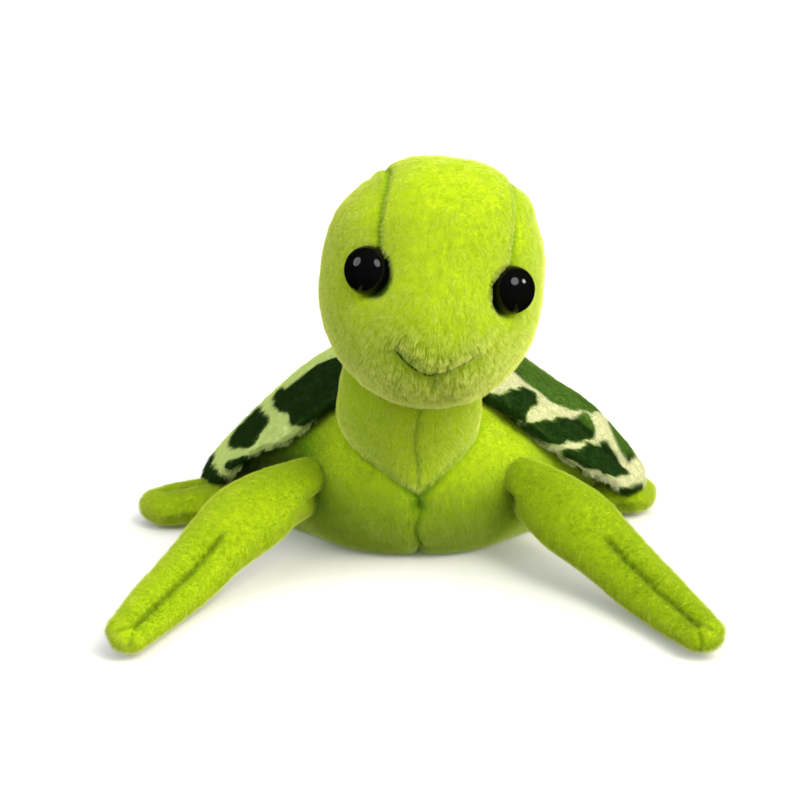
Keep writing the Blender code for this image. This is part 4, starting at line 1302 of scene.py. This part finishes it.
def make_flipper(flipper, mats):
    centre, width, thickness, roll = flipper_rows(flipper)
    rows = len(centre)
    heading = unit(np.gradient(centre, axis=0))
    turns = np.linspace(0, 2 * math.pi, FLIPPER_COLUMNS, endpoint=False)
    points = flipper_skin(centre, heading, width, thickness, roll, turns)
    quads = tube_faces(rows, FLIPPER_COLUMNS)
    normals = outward_normals(points, quads)
    middle = np.repeat(centre, FLIPPER_COLUMNS, axis=0)
    if np.einsum("ij,ij->i", normals, points - middle).sum() < 0:
        quads, normals = quads[:, ::-1], -normals
    share = np.repeat(np.linspace(0, 1, rows), FLIPPER_COLUMNS)
    turn = np.tile(turns, rows)
    sideways = np.cos(turn) * np.repeat(width, FLIPPER_COLUMNS) / 2
    drawn, shade = flipper_seams(flipper, share, turn, sideways)
    along = np.repeat(heading, FLIPPER_COLUMNS, axis=0)
    points = points + along * flipper_root_shift(flipper, share, turn)[:, None]
    points = points + normals * (tufts(points, along, LIME_TUFTS) - drawn - PILE_STAND)[:, None]
    points[:, 2] = above_floor(points[:, 2], FLIPPER_CLEARANCE)
    first, last = ring(0, FLIPPER_COLUMNS), ring(rows - 1, FLIPPER_COLUMNS)
    caps = [first[::-1], last] if quads[0][1] == 1 else [first, last[::-1]]
    name, side = flipper["name"], flipper["side"]
    obj = plush_piece(
        f"{name}_plush_{side}", points, quads.tolist() + caps, mats["lime"],
        (f"{name}_{side}", f"{name}_stuffing_{side}", f"{name}_topstitch_{side}"),
    )
    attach(obj, flipper["body"])
    paint_share(obj, "shade", shade)
    grow_pile(
        obj, mats["lime_strands"], 14, unit(centre[-1] - centre[0]),
        length=FLIPPER_PILE_SHARE * PILE_LENGTH, density=FLIPPER_DENSITY_SHARE * PILE_DENSITY,
    )


# Stage

def make_camera():
    data = bpy.data.cameras.new("camera")
    data.lens = LENS_MM
    data.sensor_width = SENSOR_MM
    data.clip_start = 0.01
    data.clip_end = 10
    camera = add_object("camera", data)
    back = Vector((0, -math.cos(CAMERA_ELEVATION), math.sin(CAMERA_ELEVATION)))
    camera.location = CAMERA_TARGET + back * CAMERA_DISTANCE
    camera.rotation_euler = (-back).to_track_quat("-Z", "Y").to_euler()
    bpy.context.scene.camera = camera


def glint(name, way, width, power):
    """A round lamp that only glossy surfaces show."""
    data = bpy.data.lights.new(name, "AREA")
    data.shape = "DISK"
    data.size = width
    data.energy = power
    lamp = add_object(name, data)
    lamp.location = HEAD_CENTRE + Vector(way) * GLINT_DISTANCE
    lamp.rotation_euler = Vector(way).to_track_quat("Z", "Y").to_euler()
    lamp.visible_diffuse = False


def soft_sun(name, way, strength, spread):
    """A distant lamp seen in direction way, as wide as spread degrees."""
    data = bpy.data.lights.new(name, "SUN")
    data.energy = strength
    data.angle = math.radians(spread)
    data.color = WARM_LIGHT if name in WARM_LAMPS else PLAIN_WHITE
    lamp = add_object(name, data)
    lamp.rotation_euler = Vector(way).to_track_quat("Z", "Y").to_euler()
    lamp.visible_glossy = False


def studio_world():
    """A studio that brightens evenly from below the turtle to the key light's side."""
    world = bpy.data.worlds.new("studio")
    world.use_nodes = True
    tree = world.node_tree
    way = tree.nodes.new("ShaderNodeTexCoord").outputs["Generated"]
    facing = tree.nodes.new("ShaderNodeVectorMath")
    facing.operation = "DOT_PRODUCT"
    facing.inputs[1].default_value = SKY_WAY.normalized()
    tree.links.new(way, facing.inputs[0])
    slope = math_node(tree, "MULTIPLY", facing.outputs["Value"], SKY_SLOPE)
    level = math_node(tree, "MAXIMUM", math_node(tree, "ADD", slope, SKY_LEVEL), SKY_LEAST)
    background = tree.nodes["Background"]
    background.inputs["Color"].default_value = (*PLAIN_WHITE, 1)
    tree.links.new(level, background.inputs["Strength"])
    world.cycles_visibility.glossy = False
    return world


def make_floor():
    corners = [(FLOOR_HALF * x, FLOOR_HALF * y, 0) for x, y in ((-1, -1), (1, -1), (1, 1), (-1, 1))]
    mesh = bpy.data.meshes.new("floor")
    mesh.from_pydata(corners, [], [(0, 1, 2, 3)])
    floor = add_object("floor", mesh)
    made, shader = new_material("pale_floor")
    set_inputs(shader, {"Base Color": FLOOR_COLOUR, "Roughness": 1.0, "Specular IOR Level": 0})
    mesh.materials.append(made)
    floor.visible_diffuse = False
    floor.visible_glossy = False


def make_stage():
    make_floor()
    for name, lamp in SOFT_LAMPS.items():
        soft_sun(name, *lamp)
    for name, lamp in GLINTS.items():
        glint(name, *lamp)
    bpy.context.scene.world = studio_world()
    bpy.context.scene.view_settings.view_transform = "Standard"


def finish_washer(side, mats):
    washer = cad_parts[f"eye_washer_{side}"]
    washer.data.materials.clear()
    washer.data.materials.append(mats["washer"])


def dress():
    mats = make_materials()
    make_camera()
    make_stage()
    make_body(mats)
    make_neck(mats)
    make_shell(mats)
    make_shell_underside(mats)
    seats, tree = make_head(mats)
    for side in SIDES:
        make_eye(side, seats[side], mats)
        make_flipper(front_flipper(side), mats)
        make_flipper(rear_flipper(side), mats)
        finish_washer(side, mats)
    make_mouth(tree, mats)


dress()
